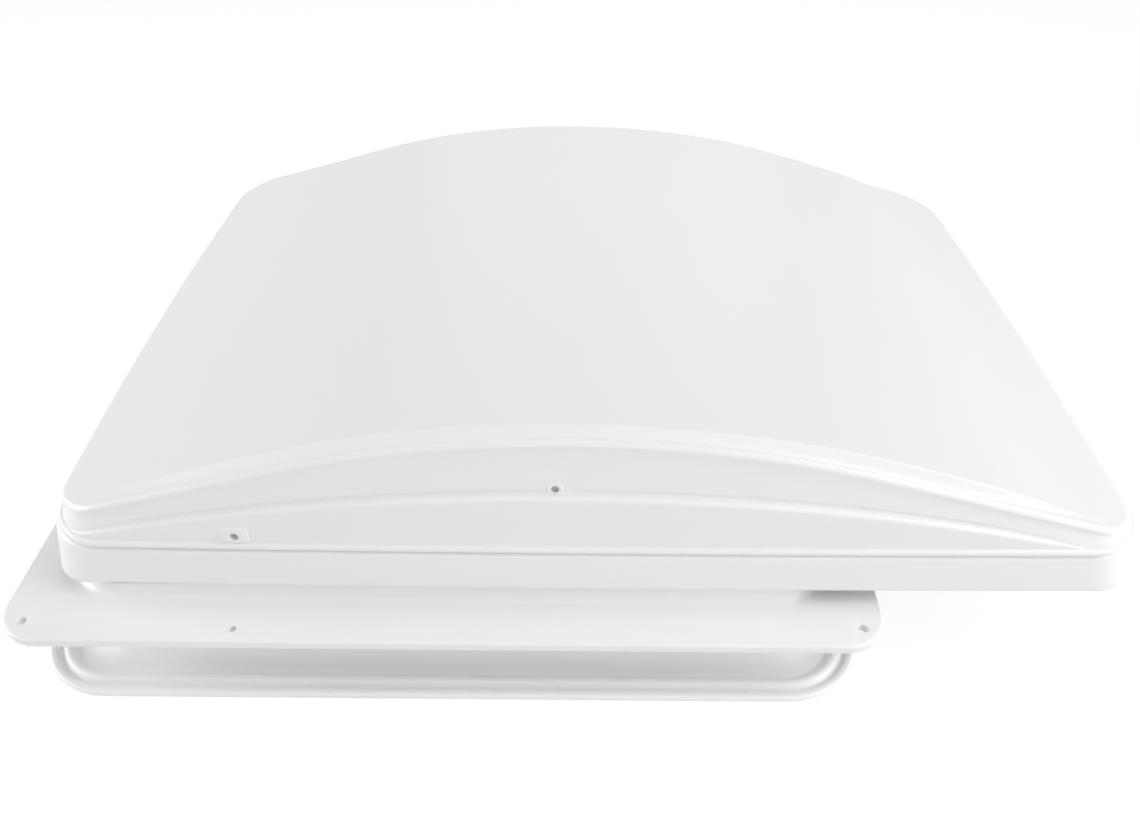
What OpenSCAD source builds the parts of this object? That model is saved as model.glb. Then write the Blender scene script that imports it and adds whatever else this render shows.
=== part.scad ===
// Caravan roof vent: a powered fan under a lifting rain lid, with its ceiling trim.
// Origin: centre of the roof opening, in the plane of the roof (the flange's underside).
// +X points to the rear overhang, +Y across the vent, +Z up. Sizes are in millimetres.

/* [Roof flange] */
// Width of the flange's rim around the roof opening
flange_rim = 37; // [34:0.5:42]
// Thickness of the flange plate
flange_t = 5.5; // [4:0.5:7]
// Corner radius of the flange plate
flange_corner_r = 24; // [16:1:30]
// Side of the square opening in the roof
roof_opening = 400; // [396:1:404]
// Wall of the upright neck around the opening
neck_wall = 4; // [3:0.5:5]
// Inner corner radius of the neck
neck_corner_r = 20; // [16:1:24]
// Radius of the hollow flare at the foot of the neck
flare_r = 7; // [4:0.5:7.5]
// Distance of the corner screws from the flange's edges
corner_hole_inset = 13; // [11:0.5:14]
// Radius of the corner screw holes
roof_hole_r = 2.4; // [2:0.1:2.8]
// Distance of the side screws from the middle of their side
side_hole_x = 111; // [90:1:130]
// Distance of the side screws from the flange's edge
side_hole_inset = 9; // [8:0.5:10]
// Radius of the side screw holes
side_hole_r = 1.8; // [1.4:0.1:2.4]
// Radius of the screw bosses in the neck's corners
boss_r = 6.5; // [6:0.5:7]
// Distance of the bosses from the neck's inner faces
boss_inset = 10; // [9:0.5:10]
// Height of the bosses' feet above the roof, clear of the garnish sleeve
boss_rise = 1; // [0.5:0.25:2]

/* [Base housing] */
// Reach of the base and lid past the opening at the sides
side_over = 7; // [7:0.5:12]
// Reach of the base and lid past the opening at the front
front_over = 11; // [9:0.5:16]
// Overhang of the base and lid past the opening at the rear
rear_over = 179; // [168:1:190]
// Corner radius of the base and of the lid
body_corner_r = 30; // [24:1:36]
// Height of the base's underside above the roof
base_z = 15; // [14.5:0.5:17]
// Thickness of the base's floor
floor_t = 2.5; // [2:0.5:3]
// Thickness of the outer skirt
skirt_wall = 3; // [2:0.5:4]
// Height of the rim's top above the roof
rim_top_z = 40; // [39:0.5:41]
// Width of the ledge that carries the rim seal
ledge_w = 11; // [10:0.5:12]
// Thickness of that ledge
ledge_t = 3; // [2.5:0.5:4]
// Distance of the rim seal from the outer face
seal_inset = 4; // [3.5:0.5:5]
// Width of the rim seal
seal_w = 3.6; // [3:0.1:4]
// Depth of the groove that holds the rim seal
seal_groove = 1.5; // [1:0.25:2]
// Thickness of the foam seal on the neck
neck_seal_t = 1.2; // [0.8:0.1:1.4]
// Height of the air duct's upper edge
duct_top_z = 45; // [42:1:48]
// Thickness of the duct's wall
duct_wall = 3; // [2:0.5:3.5]
// Distance of the air duct from the neck's inner faces
duct_inset = 46; // [44:0.5:52]
// Distance of the trim posts from the neck's inner face, along X
post_in_x = 50; // [44:1:56]
// Distance of the trim posts from the neck's inner face, along Y
post_inset = 12; // [11:0.5:14]
// Radius of the trim posts
post_r = 6; // [5:0.5:7]

/* [Lid] */
// Height of the seam between the rim and the lid
lid_seam = 2; // [1.5:0.25:3]
// Wall thickness of the lid
lid_wall = 3; // [2.5:0.25:3.5]
// Height of the lid's lip
lip_h = 4; // [3:0.5:5]
// Width of the lip's underside, which closes on the rim seal
lip_w = 9; // [8.5:0.5:10]
// Distance of the lower side panels behind the lip
panel_inset = 1; // [0.5:0.25:1.5]
// Width of the arched step above the side panels
step_w = 3; // [2:0.5:4]
// Inward lean of the upper walls over the lid's height
lid_draft = 4; // [2:0.5:5]
// Radius of the lid's arched top edge
arch_r = 600; // [570:5:630]
// Height of the top edge at the crest
arch_top_z = 112; // [110:1:114]
// Distance of the crest behind the opening's centre
crest_x = 67; // [62:1:72]
// Slope of the straight flanks of the arch, in degrees
flank_angle = 14.4; // [14:0.1:14.8]
// Radius of the step's arch
step_arch_r = 1120; // [1080:10:1160]
// Height of the step at the crest
step_top_z = 79; // [77:0.5:80]
// Rise of the crown panel above the arch
crown_rise = 4; // [3:0.25:5]
// Distance of the crown's long edges from the body's faces
crown_side = 18; // [17:0.5:20]
// Distance of the crown's short edges from the body's faces
crown_end = 26; // [24:1:30]
// Corner radius of the crown panel
crown_corner_r = 14; // [10:1:18]

/* [Lift gear] */
// Distance between the two lid pivots, along X
pivot_span = 168; // [162:1:174]
// Front lid pivot, height
front_pivot_z = 50; // [49:0.5:52]
// Distance of the cross shaft from the neck's rear face
shaft_in = 7.3; // [6:0.1:10]
// Main lid pivot, height
main_pivot_z = 82; // [80:0.5:84]
// Length of the four lift arms between pivots
arm_len = 135; // [128:1:138]
// Rise of the arms above level when the lid is closed, in degrees
arm_rest = 8; // [7:0.25:9]
// Thickness of the arms
arm_t = 6; // [5:0.5:7]
// Width of the arms
arm_w = 12; // [10:0.5:14]
// Distance of the arms' inner faces from the neck's inner faces
arm_inset = 16; // [15:0.5:18]
// Radius of the cross shaft
shaft_r = 6; // [5:0.5:7]
// Radius of the pivot pins
pin_r = 4; // [3:0.25:4.5]
// Radius of the pins' screwed ends in the lid wall
pin_end_r = 2.4; // [2:0.1:2.6]
// Wall of the eyes around pins and shafts
eye_wall = 3.5; // [3:0.25:4]
// Thickness of the upright bearing plates
bearing_t = 10; // [8:0.5:12]
// Number of teeth of the worm wheel
wheel_teeth = 24; // [22:1:26]
// Module of the worm gear
gear_module = 2; // [1.8:0.1:2.2]
// Face width of the worm wheel
wheel_w = 8; // [6:0.5:9]
// Pitch radius of the worm
worm_r = 8; // [7.5:0.25:9]
// Number of turns of the worm's thread
worm_turns = 4; // [3:1:5]
// Distance of the worm from the neck's left face
worm_inset = 80; // [76:1:84]
// Radius of the worm's spindle
spindle_r = 5; // [4.5:0.25:5.5]
// Radius of the hand knob
knob_r = 27; // [22:1:29]
// Height of the hand knob
knob_h = 10.5; // [8:0.5:11.5]
// Number of finger scallops around the knob
knob_scallops = 8; // [6:1:12]

/* [Fan] */
// Gap between the blade tips and the duct
tip_gap = 4; // [3:0.5:5]
// Number of blades
blade_count = 10; // [6:1:12]
// Pitch of the blades, in degrees
blade_pitch = 28; // [20:1:32]
// Thickness of the blades
blade_t = 2.2; // [1.6:0.2:3]
// Blade width at the hub
blade_root_w = 34; // [28:1:40]
// Blade width at the tip
blade_tip_w = 50; // [40:1:56]
// Radius of the hub
hub_r = 48; // [42:1:54]
// Height of the hub
hub_h = 30; // [26:1:32]
// Wall of the hub cup
hub_wall = 3; // [2:0.5:4]
// Radius of the motor
motor_r = 31; // [27:1:36]
// Height of the motor
motor_h = 34; // [30:1:36]
// Radius of the motor's shaft
motor_shaft_r = 4; // [3:0.25:5]
// Width of the motor bracket's arms
bracket_w = 16; // [12:1:20]
// Thickness of the motor bracket
bracket_t = 4; // [3:0.5:5]
// Height of the bracket above the inner bezel
bracket_rise = 6; // [4:0.5:8]

/* [Room side] */
// Distance of the inner bezel's face below the roof
bezel_drop = 30; // [28:0.5:32]
// Thickness of the inner bezel
bezel_t = 3; // [2.5:0.25:3.5]
// Width of the ceiling garnish's rim around the roof opening
garnish_rim = 35; // [32:0.5:38]
// Distance of the garnish's face below the roof
garnish_drop = 46; // [45:0.5:60]
// Corner radius of the garnish
garnish_corner_r = 45; // [42:1:50]
// Gap between the garnish sleeve and the roof opening
sleeve_gap = 1.5; // [1:0.25:2]
// Wall of the garnish sleeve
sleeve_wall = 2.5; // [2:0.25:3]
// Reach of the insect screen's frame past the duct
screen_lap = 14; // [12:0.5:15]
// Thickness of the insect screen's frame
screen_t = 4; // [3:0.5:4.5]
// Spacing of the insect net's wires
net_pitch = 17; // [17:0.5:20]
// Width of the insect net's wires
net_wire = 1.2; // [1:0.1:1.6]
// Half length of the screen latches
latch_half = 14; // [12:0.5:15]
// Width of the screen latches
latch_w = 9; // [8:0.5:10]
// Thickness of the screen latches
latch_t = 3; // [2:0.25:3.5]
// Length of the control panel
panel_len = 62; // [58:1:64]
// Width of the control panel
panel_wid = 38; // [36:1:40]
// Distance of the control panel's middle from the neck's front face
panel_in_x = 54; // [51:0.5:56]
// Distance of the control panel's middle from the neck's left face
panel_in_y = 48; // [46:0.5:50]
// Radius of the push buttons
button_r = 4.5; // [4:0.25:5]
// Spacing of the push buttons
button_pitch = 13; // [12.5:0.25:13.5]
// Travel of the push buttons
button_travel = 0.8; // [0.5:0.1:1]

/* [Fasteners and fits] */
// Radius of the assembly screws
screw_r = 2; // [1.6:0.1:2.2]
// Radius of the assembly screws' heads
screw_head_r = 3.8; // [3.4:0.1:4.2]
// Height of the assembly screws' heads
screw_head_h = 2.4; // [2:0.1:2.8]
// Radial clearance of turning and screwed fits
run_gap = 0.05; // [0.02:0.01:0.08]
// Gap between pieces that seat on each other
seat_gap = 0.3; // [0.2:0.05:0.4]

/* [Hidden] */
$fn = 96;
white = [0.93, 0.93, 0.93];
grey = [0.55, 0.56, 0.58];
dark = [0.12, 0.12, 0.13];
steel = [0.72, 0.73, 0.75];
past = 1;
ring_fn = 180;

opening_half = roof_opening / 2;
flange_side = roof_opening + 2 * flange_rim;
flange_half = flange_side / 2;
body_len = roof_opening + front_over + rear_over;
body_wid = roof_opening + 2 * side_over;
body_front = opening_half + front_over;
neck_half = opening_half + neck_wall;
neck_top_z = base_z - neck_seal_t - seat_gap;
boss_at = opening_half - boss_inset;
body_mid_x = body_len / 2 - body_front;
floor_top_z = base_z + floor_t;
lid_z = rim_top_z + lid_seam;

duct_r = opening_half - duct_inset;
fan_r = duct_r - tip_gap;
bezel_top_z = bezel_t - bezel_drop;
duct_foot_z = bezel_top_z + seat_gap;
post_x = opening_half - post_in_x;
post_y = opening_half - post_inset;
screw_bite = 16;
housing_bite = 12;
crown_top_z = arch_top_z + crown_rise;
arch_deep = 80;
flank_set = 0.1;
flank_run_on = 3;

garnish_side = roof_opening + 2 * garnish_rim;
sleeve_half = opening_half - sleeve_gap;
sleeve_corner_r = neck_corner_r - sleeve_gap;
sleeve_in = sleeve_half - sleeve_wall;
bezel_half = sleeve_in - 2 * seat_gap;
bezel_corner_r = sleeve_corner_r - sleeve_wall;
ledge_top_z = -bezel_drop - seat_gap;
tab_t = 3;
garnish_web_t = 2.4;
tab_w = 24;

arm_reach = [arm_len * cos(arm_rest), -arm_len * sin(arm_rest)];
main_pivot_x = opening_half - shaft_in - arm_reach[0];
front_pivot_x = main_pivot_x - pivot_span;
front_top = [front_pivot_x, front_pivot_z];
main_top = [main_pivot_x, main_pivot_z];
front_base = front_top + arm_reach;
main_base = main_top + arm_reach;
arm_y = opening_half - arm_inset;
pin_eye_r = pin_r + eye_wall;
shaft_eye_r = shaft_r + eye_wall;
arm_out_y = arm_y + arm_t;
bearing_y = arm_y - bearing_t - 2 * seat_gap;
foot_t = 4;
foot_reach = 9;
pin_head_h = 2;
pin_boss_r = 6;
pin_ring_w = 2;
corner_least = 4;

wheel_r = wheel_teeth * gear_module / 2;
worm_pitch = PI * gear_module;
worm_x = main_base[0] - wheel_r - worm_r;
worm_y = opening_half - worm_inset;
tooth_high = 0.9 * gear_module;
tooth_deep = 1.25 * gear_module;
tooth_tip_w = 0.35 * gear_module;
tooth_root_w = 1.5 * gear_module;
thread_tip_w = 0.3 * gear_module;
thread_root_w = 1.5 * gear_module;
thread_steps = 24;
ear_t = 5;
ear_clear = 3;
worm_half = worm_turns * worm_pitch / 2;
ear_low_z = main_base[1] - worm_half - worm_pitch / 2 - ear_clear - ear_t;
ear_high_z = main_base[1] + worm_half + worm_pitch / 2 + ear_clear;
bracket_back = 5;
bracket_deep = 26;
back_x = worm_x - worm_r - tooth_high - ear_clear - bracket_back;

bracket_z = bezel_top_z + bracket_rise;
bracket_top_z = bracket_z + bracket_t;
bracket_rim = 4;
bracket_hub_r = motor_r + bracket_rim;
lug_r = 6;
lug_h = 10;
lug_bite = 0.5;
lug_at = duct_r - lug_r + lug_bite;
motor_z = bracket_top_z + seat_gap;
motor_top_z = motor_z + motor_h;
motor_bite = 7;
motor_screw_at = 0.62 * motor_r;
motor_vent_at = 0.78 * motor_r;
hub_clear = 4;
hub_z = motor_top_z - hub_h + 2 * hub_wall + hub_clear;
hub_top_z = hub_z + hub_h;
blade_z = hub_z + hub_h / 2;
nut_r = 8;
nut_h = 5;
grommet_r = 4;
grommet_collar = 2;
grommet_turn = 236;
grommet_rise = 8;

screen_r = duct_r + screen_lap;
screen_overlap = 3;
screen_in_r = duct_r - screen_overlap;
screen_low_z = -bezel_drop - seat_gap - screen_t;
latch_bite = 6;
latch_at = screen_r + latch_half - latch_bite;
latch_stem_r = 3;
latch_head_r = 5;
latch_head_h = 2;
latch_low_z = screen_low_z - seat_gap - latch_t;
knob_clear = 1;
knob_top_z = -bezel_drop - knob_clear;
scallop_r = 5;

panel_x = opening_half - panel_in_x;
panel_y = opening_half - panel_in_y;
plate_t = 3;
panel_low_z = -bezel_drop - seat_gap - plate_t;
panel_rim = 6;
panel_post_r = 3;
board_t = 1.6;
board_in = panel_rim + past;
switch_h = 3;
switch_w = 6;
button_proud = 2.2;
button_flange = 1;
button_flange_t = 1.5;
board_rise = 8;
board_z = bezel_top_z + board_rise;
button_top_z = board_z - switch_h - button_travel - seat_gap;
buttons = ["power", "faster", "slower", "reverse"];

// Outline of a rounded rectangle about the origin
module rounded(len, wid, r) {
    square([len - 2 * r, wid], center = true);
    square([len, wid - 2 * r], center = true);
    for (x = [-1, 1], y = [-1, 1]) {
        translate([x * (len / 2 - r), y * (wid / 2 - r)]) circle(r);
    }
}

// Outline of the body in plan, drawn in from its outer face
module body_plan(inset) {
    translate([body_mid_x, 0])
        rounded(body_len - 2 * inset, body_wid - 2 * inset, max(body_corner_r - inset, corner_least));
}

// Slab of the body's plan between two heights
module body_slab(inset, low, high) {
    translate([0, 0, low]) linear_extrude(high - low) body_plan(inset);
}

// Square ring with rounded corners, between two heights
module square_ring(half_out, half_in, r_in, low, high) {
    translate([0, 0, low]) linear_extrude(high - low) difference() {
        rounded(2 * half_out, 2 * half_out, r_in + half_out - half_in);
        rounded(2 * half_in, 2 * half_in, r_in);
    }
}

// Profile carried around a rounded square; x in the profile is measured outwards from its line
module around_square(half, r) {
    for (turn = [0:90:270]) rotate(turn) {
        translate([half, 0, 0]) rotate([90, 0, 0])
            linear_extrude(2 * (half - r), center = true) children();
        translate([half - r, half - r, 0]) rotate_extrude(angle = 90) translate([r, 0]) children();
    }
}

// Cylinder along Y between two distances on the side chosen by its sign
module along_y(at, r, from_y, to_y) {
    translate([at[0], to_y, at[1]]) rotate([90, 0, 0]) cylinder(r = r, h = to_y - from_y);
}

// Plate standing across Y, drawn in X and Z
module upright(from_y, to_y) {
    translate([0, to_y, 0]) rotate([90, 0, 0]) linear_extrude(to_y - from_y) children();
}

// Right side of the vent, or its mirror image on the left
module on_side(left) {
    if (left) mirror([0, 1, 0]) children();
    else children();
}

module at_corners(x, y) {
    for (i = [-1, 1], j = [-1, 1]) translate([i * x, j * y, 0]) children();
}

// Pan head screw with its head's seat at z = 0 and its shank along +Z
module pan_screw(length) {
    translate([0, 0, -screw_head_h]) cylinder(r = screw_head_r, h = screw_head_h);
    cylinder(r = screw_r, h = length);
}

// Hollow quarter-round flare at the foot of the neck
module flare_profile() {
    difference() {
        translate([-past, flange_t - past]) square([flare_r + past, flare_r + past]);
        translate([flare_r, flange_t + flare_r]) circle(flare_r);
    }
}

module roof_flange() {
    color(white) difference() {
        union() {
            difference() {
                union() {
                    linear_extrude(flange_t) rounded(flange_side, flange_side, flange_corner_r);
                    linear_extrude(neck_top_z)
                        rounded(2 * neck_half, 2 * neck_half, neck_corner_r + neck_wall);
                    around_square(neck_half, neck_corner_r + neck_wall) flare_profile();
                }
                translate([0, 0, -past]) linear_extrude(neck_top_z + 2 * past)
                    rounded(roof_opening, roof_opening, neck_corner_r);
            }
            at_corners(boss_at, boss_at) translate([0, 0, boss_rise])
                cylinder(r = boss_r, h = neck_top_z - boss_rise);
        }
        at_corners(flange_half - corner_hole_inset, flange_half - corner_hole_inset)
            translate([0, 0, -past]) cylinder(r = roof_hole_r, h = flange_t + 2 * past);
        for (turn = [0:90:270]) rotate(turn)
            translate([-side_hole_x, side_hole_inset - flange_half, -past])
                cylinder(r = side_hole_r, h = flange_t + 2 * past);
        at_corners(boss_at, boss_at) translate([0, 0, neck_top_z - housing_bite + floor_t])
            cylinder(r = screw_r + run_gap, h = housing_bite);
    }
}

module neck_seal() {
    color(dark) difference() {
        square_ring(neck_half, opening_half, neck_corner_r, neck_top_z + seat_gap / 2,
            base_z - seat_gap / 2);
        at_corners(boss_at, boss_at) cylinder(r = boss_r, h = base_z);
    }
}

module base_housing() {
    color(white) difference() {
        union() {
            body_slab(0, base_z, floor_top_z);
            difference() {
                body_slab(0, base_z, rim_top_z);
                body_slab(skirt_wall, base_z - past, rim_top_z - ledge_t);
                body_slab(ledge_w, base_z, rim_top_z + past);
            }
            translate([0, 0, duct_foot_z]) cylinder(r = duct_r + duct_wall, h = duct_top_z - duct_foot_z,
                $fn = ring_fn);
            at_corners(post_x, post_y) translate([0, 0, duct_foot_z])
                cylinder(r = post_r, h = base_z + past - duct_foot_z);
        }
        difference() {
            translate([0, 0, duct_foot_z - past])
                cylinder(r = duct_r, h = duct_top_z - duct_foot_z + 2 * past, $fn = ring_fn);
            bracket_places() translate([0, 0, bracket_top_z + seat_gap]) cylinder(r = lug_r, h = lug_h);
        }
        difference() {
            body_slab(seal_inset - run_gap, rim_top_z - seal_groove, rim_top_z + past);
            body_slab(seal_inset + seal_w + run_gap, rim_top_z - seal_groove - past, rim_top_z + past);
        }
        at_corners(boss_at, boss_at) translate([0, 0, base_z - past])
            cylinder(r = screw_r + run_gap, h = floor_t + 2 * past);
        at_corners(post_x, post_y) translate([0, 0, duct_foot_z - past])
            cylinder(r = screw_r + run_gap, h = screw_bite + past);
        bracket_places() translate([0, 0, bracket_top_z])
            cylinder(r = screw_r + run_gap, h = screw_bite);
        bearing_screw_places() translate([0, 0, base_z - past])
            cylinder(r = screw_r + run_gap, h = floor_t + 2 * past);
        bracket_foot_places() translate([0, 0, base_z - past])
            cylinder(r = screw_r + run_gap, h = floor_t + 2 * past);
        grommet_place() translate([0, 0, -past])
            cylinder(r = grommet_r + run_gap, h = duct_wall + 2 * past + seat_gap);
        translate([worm_x, -worm_y, base_z - past])
            cylinder(r = spindle_r + ear_clear, h = floor_t + 2 * past);
    }
}

// Place of the motor lead's inlet in the duct wall, with +Z out of the duct
module grommet_place() {
    rotate(grommet_turn) translate([duct_r, 0, bracket_top_z + grommet_rise]) rotate([0, 90, 0]) children();
}

// Rubber grommet that seals the lead's inlet: a sleeve between two collars
module wire_grommet() {
    sleeve = duct_wall + 2 * seat_gap;
    color(dark) grommet_place() difference() {
        union() {
            translate([0, 0, -seat_gap - grommet_collar])
                cylinder(r = grommet_r, h = sleeve + 2 * grommet_collar);
            for (z = [-seat_gap - grommet_collar, sleeve - seat_gap])
                translate([0, 0, z]) cylinder(r = grommet_r + grommet_collar, h = grommet_collar);
        }
        translate([0, 0, -2 * grommet_collar]) cylinder(r = grommet_r / 2, h = sleeve + 4 * grommet_collar);
    }
}

// Four screws that hold the base down on the neck's bosses
module housing_screws() {
    color(steel) at_corners(boss_at, boss_at) translate([0, 0, floor_top_z + run_gap]) mirror([0, 0, 1])
        pan_screw(housing_bite - past);
}

// Soft seal in the rim's groove, which the lid's lip closes on
module rim_seal() {
    color(dark) difference() {
        body_slab(seal_inset, rim_top_z - seal_groove + run_gap, lid_z - seat_gap);
        body_slab(seal_inset + seal_w, rim_top_z - seal_groove - past, lid_z + past);
    }
}

module inner_bezel() {
    color(white) difference() {
        translate([0, 0, -bezel_drop]) linear_extrude(bezel_t) difference() {
            rounded(2 * bezel_half, 2 * bezel_half, bezel_corner_r);
            circle(duct_r, $fn = ring_fn);
            translate([-panel_x, -panel_y])
                square([panel_len - 2 * panel_rim, panel_wid - 2 * panel_rim], center = true);
        }
        at_corners(post_x, post_y) translate([0, 0, -bezel_drop - past])
            cylinder(r = screw_r + run_gap, h = bezel_t + 2 * past);
        for (turn = [0:90:270]) rotate(turn) translate([latch_at, 0, -bezel_drop - past])
            cylinder(r = latch_stem_r + run_gap, h = bezel_t + 2 * past);
        translate([worm_x, -worm_y, -bezel_drop - past])
            cylinder(r = spindle_r + run_gap, h = bezel_t + 2 * past);
    }
}

// Moulded edge of the garnish: rim, groove and bead on the web, from its outer line inwards
module garnish_edge() {
    rim_t = 4;
    rim_w = 4;
    edge_round = 1.2;
    bead_h = 2.4;
    bead_w = 4.5;
    slope = 1.5;
    low = -garnish_drop;
    web = low + garnish_web_t;
    rim = low + rim_t;
    bead = web + bead_h;
    groove_x = -rim_w - 2 * slope;
    bead_x = groove_x - slope;
    end_x = bead_x - bead_w - slope;
    polygon([
        [-slope, low], [0, low + edge_round], [0, rim - edge_round], [-edge_round, rim], [-rim_w, rim],
        [-rim_w - slope, web], [groove_x, web], [bead_x, bead], [bead_x - bead_w, bead],
        [end_x, web], [end_x - past, web], [end_x - past, low]
    ]);
}

// Sleeve that stands in the roof opening, with a cove at its foot
module garnish_sleeve() {
    cove_r = 8;
    low = -garnish_drop;
    web = low + garnish_web_t;
    difference() {
        translate([-sleeve_wall, low]) square([sleeve_wall + cove_r, garnish_web_t + cove_r]);
        translate([cove_r, web + cove_r]) circle(cove_r);
        translate([cove_r, web]) square([past, cove_r + past]);
    }
    translate([-sleeve_wall, low]) square([sleeve_wall, garnish_drop - seat_gap - past]);
}

module ceiling_garnish() {
    web_in = 10;
    web_out = garnish_side / 2 - web_in;
    color(white) difference() {
        union() {
            around_square(garnish_side / 2, garnish_corner_r) garnish_edge();
            around_square(sleeve_half, sleeve_corner_r) garnish_sleeve();
            translate([0, 0, -garnish_drop]) linear_extrude(garnish_web_t) difference() {
                rounded(2 * web_out, 2 * web_out, garnish_corner_r - web_in);
                rounded(2 * sleeve_half, 2 * sleeve_half, sleeve_corner_r);
            }
            for (x = [-1, 1], y = [-1, 1]) {
                tab_deep = sleeve_in + past - post_y + post_r;
                translate([x * post_x - tab_w / 2, y > 0 ? sleeve_in + past - tab_deep : -sleeve_in - past,
                    ledge_top_z - tab_t])
                    cube([tab_w, tab_deep, tab_t]);
            }
        }
        at_corners(post_x, post_y) translate([0, 0, ledge_top_z - tab_t - past])
            cylinder(r = screw_r + run_gap, h = tab_t + 2 * past);
    }
}

module garnish_screws() {
    color(steel) at_corners(post_x, post_y) translate([0, 0, ledge_top_z - tab_t - run_gap])
        pan_screw(screw_bite + tab_t);
}

module screen_frame() {
    color(white) translate([0, 0, screen_low_z]) difference() {
        cylinder(r = screen_r, h = screen_t, $fn = ring_fn);
        translate([0, 0, -past]) cylinder(r = screen_in_r, h = screen_t + 2 * past, $fn = ring_fn);
        translate([0, 0, screen_t / 2 - net_wire / 2 - run_gap])
            cylinder(r = screen_in_r + 3 * net_wire + run_gap, h = net_wire + 2 * run_gap, $fn = ring_fn);
    }
}

// Flat insect net clamped in the frame's groove
module screen_net() {
    net_r = screen_in_r + 3 * net_wire;
    count = floor(screen_in_r / net_pitch);
    color(grey) translate([0, 0, screen_low_z + screen_t / 2 - net_wire / 2]) linear_extrude(net_wire) {
        difference() {
            circle(net_r, $fn = ring_fn);
            circle(screen_in_r, $fn = ring_fn);
        }
        intersection() {
            circle(screen_in_r + net_wire, $fn = ring_fn);
            union() for (i = [-count:count]) {
                translate([i * net_pitch, 0]) square([net_wire, 2 * net_r], center = true);
                translate([0, i * net_pitch]) square([2 * net_r, net_wire], center = true);
            }
        }
    }
}

// Quarter-turn latch: a tab under the screen's frame on a headed stem through the bezel
module screen_latch(turn) {
    color(white) rotate(turn) translate([latch_at, 0, 0]) {
        translate([0, 0, latch_low_z]) linear_extrude(latch_t)
            rounded(2 * latch_half, latch_w, latch_w / 3);
        translate([0, 0, latch_low_z])
            cylinder(r = latch_stem_r, h = bezel_top_z + seat_gap + past - latch_low_z);
        translate([0, 0, bezel_top_z + seat_gap]) cylinder(r = latch_head_r, h = latch_head_h);
    }
}
module screen_latch_front() { screen_latch(180); }
module screen_latch_rear() { screen_latch(0); }
module screen_latch_left() { screen_latch(270); }
module screen_latch_right() { screen_latch(90); }

// Four fixing places of the motor bracket, between the main axes
module bracket_places() {
    for (turn = [45:90:315]) rotate(turn) translate([lug_at, 0, 0]) children();
}

module motor_bracket() {
    color(grey) difference() {
        translate([0, 0, bracket_z]) linear_extrude(bracket_t) intersection() {
            circle(duct_r - seat_gap, $fn = ring_fn);
            union() {
                circle(bracket_hub_r);
                for (turn = [45:90:315]) rotate(turn)
                    translate([0, -bracket_w / 2]) square([duct_r, bracket_w]);
            }
        }
        bracket_places() translate([0, 0, bracket_z - past])
            cylinder(r = screw_r + run_gap, h = bracket_t + 2 * past);
        motor_screw_places() translate([0, 0, bracket_z - past])
            cylinder(r = screw_r + run_gap, h = bracket_t + 2 * past);
    }
}

module bracket_screws() {
    color(steel) bracket_places() translate([0, 0, bracket_z - run_gap])
        pan_screw(screw_bite - bracket_t);
}

module motor_screw_places() {
    for (turn = [90:120:330]) rotate(turn) translate([motor_screw_at, 0, 0]) children();
}

module motor_screws() {
    color(steel) motor_screw_places() translate([0, 0, bracket_z - run_gap])
        pan_screw(bracket_t + motor_bite - past);
}

// Motor can with a raised front boss and a ring of pressed vents
module motor() {
    vent_count = 12;
    vent_r = 2.2;
    boss_h = 3;
    color(dark) difference() {
        union() {
            translate([0, 0, motor_z]) cylinder(r = motor_r, h = motor_h - boss_h);
            translate([0, 0, motor_top_z - boss_h - past]) cylinder(r = motor_r / 2, h = boss_h + past);
        }
        translate([0, 0, motor_z + motor_h / 2])
            cylinder(r = motor_shaft_r + run_gap, h = motor_h);
        motor_screw_places() translate([0, 0, motor_z - past])
            cylinder(r = screw_r + run_gap, h = motor_bite + past);
        for (i = [0:vent_count - 1]) rotate(i * 360 / vent_count)
            translate([motor_vent_at, 0, motor_z + motor_h / 2]) cylinder(r = vent_r, h = motor_h);
    }
}

module motor_shaft() {
    start = motor_z + motor_h / 2 + seat_gap;
    color(steel) translate([0, 0, start]) cylinder(r = motor_shaft_r, h = hub_top_z + nut_h - start);
}

// One blade: a tapered plate turned to its pitch and trimmed to the fan's circle
module fan_blade() {
    intersection() {
        translate([0, 0, blade_z]) rotate([blade_pitch, 0, 0]) linear_extrude(blade_t, center = true)
            polygon([
                [hub_r - hub_wall, -blade_root_w / 2], [fan_r + past, -blade_tip_w / 2],
                [fan_r + past, blade_tip_w / 2], [hub_r - hub_wall, blade_root_w / 2]
            ]);
        translate([0, 0, hub_z - hub_h]) difference() {
            cylinder(r = fan_r, h = 3 * hub_h, $fn = ring_fn);
            cylinder(r = hub_r - hub_wall / 2, h = 3 * hub_h);
        }
    }
}

module fan_rotor() {
    color(grey) difference() {
        union() {
            translate([0, 0, hub_z]) difference() {
                cylinder(r = hub_r, h = hub_h);
                translate([0, 0, -past]) cylinder(r = hub_r - hub_wall, h = hub_h - 2 * hub_wall + past);
            }
            for (i = [0:blade_count - 1]) rotate(i * 360 / blade_count) fan_blade();
        }
        translate([0, 0, hub_z]) cylinder(r = motor_shaft_r + run_gap, h = hub_h + past);
    }
}

// Hexagon nut that holds the rotor on the motor's shaft
module fan_nut() {
    color(steel) translate([0, 0, hub_top_z + run_gap]) difference() {
        cylinder(r = nut_r, h = nut_h, $fn = 6);
        translate([0, 0, -past]) cylinder(r = motor_shaft_r + run_gap, h = nut_h + 2 * past);
    }
}

module lift_shaft() {
    color(steel) along_y(main_base, shaft_r, -arm_out_y - pin_head_h, arm_out_y + pin_head_h);
}

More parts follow.
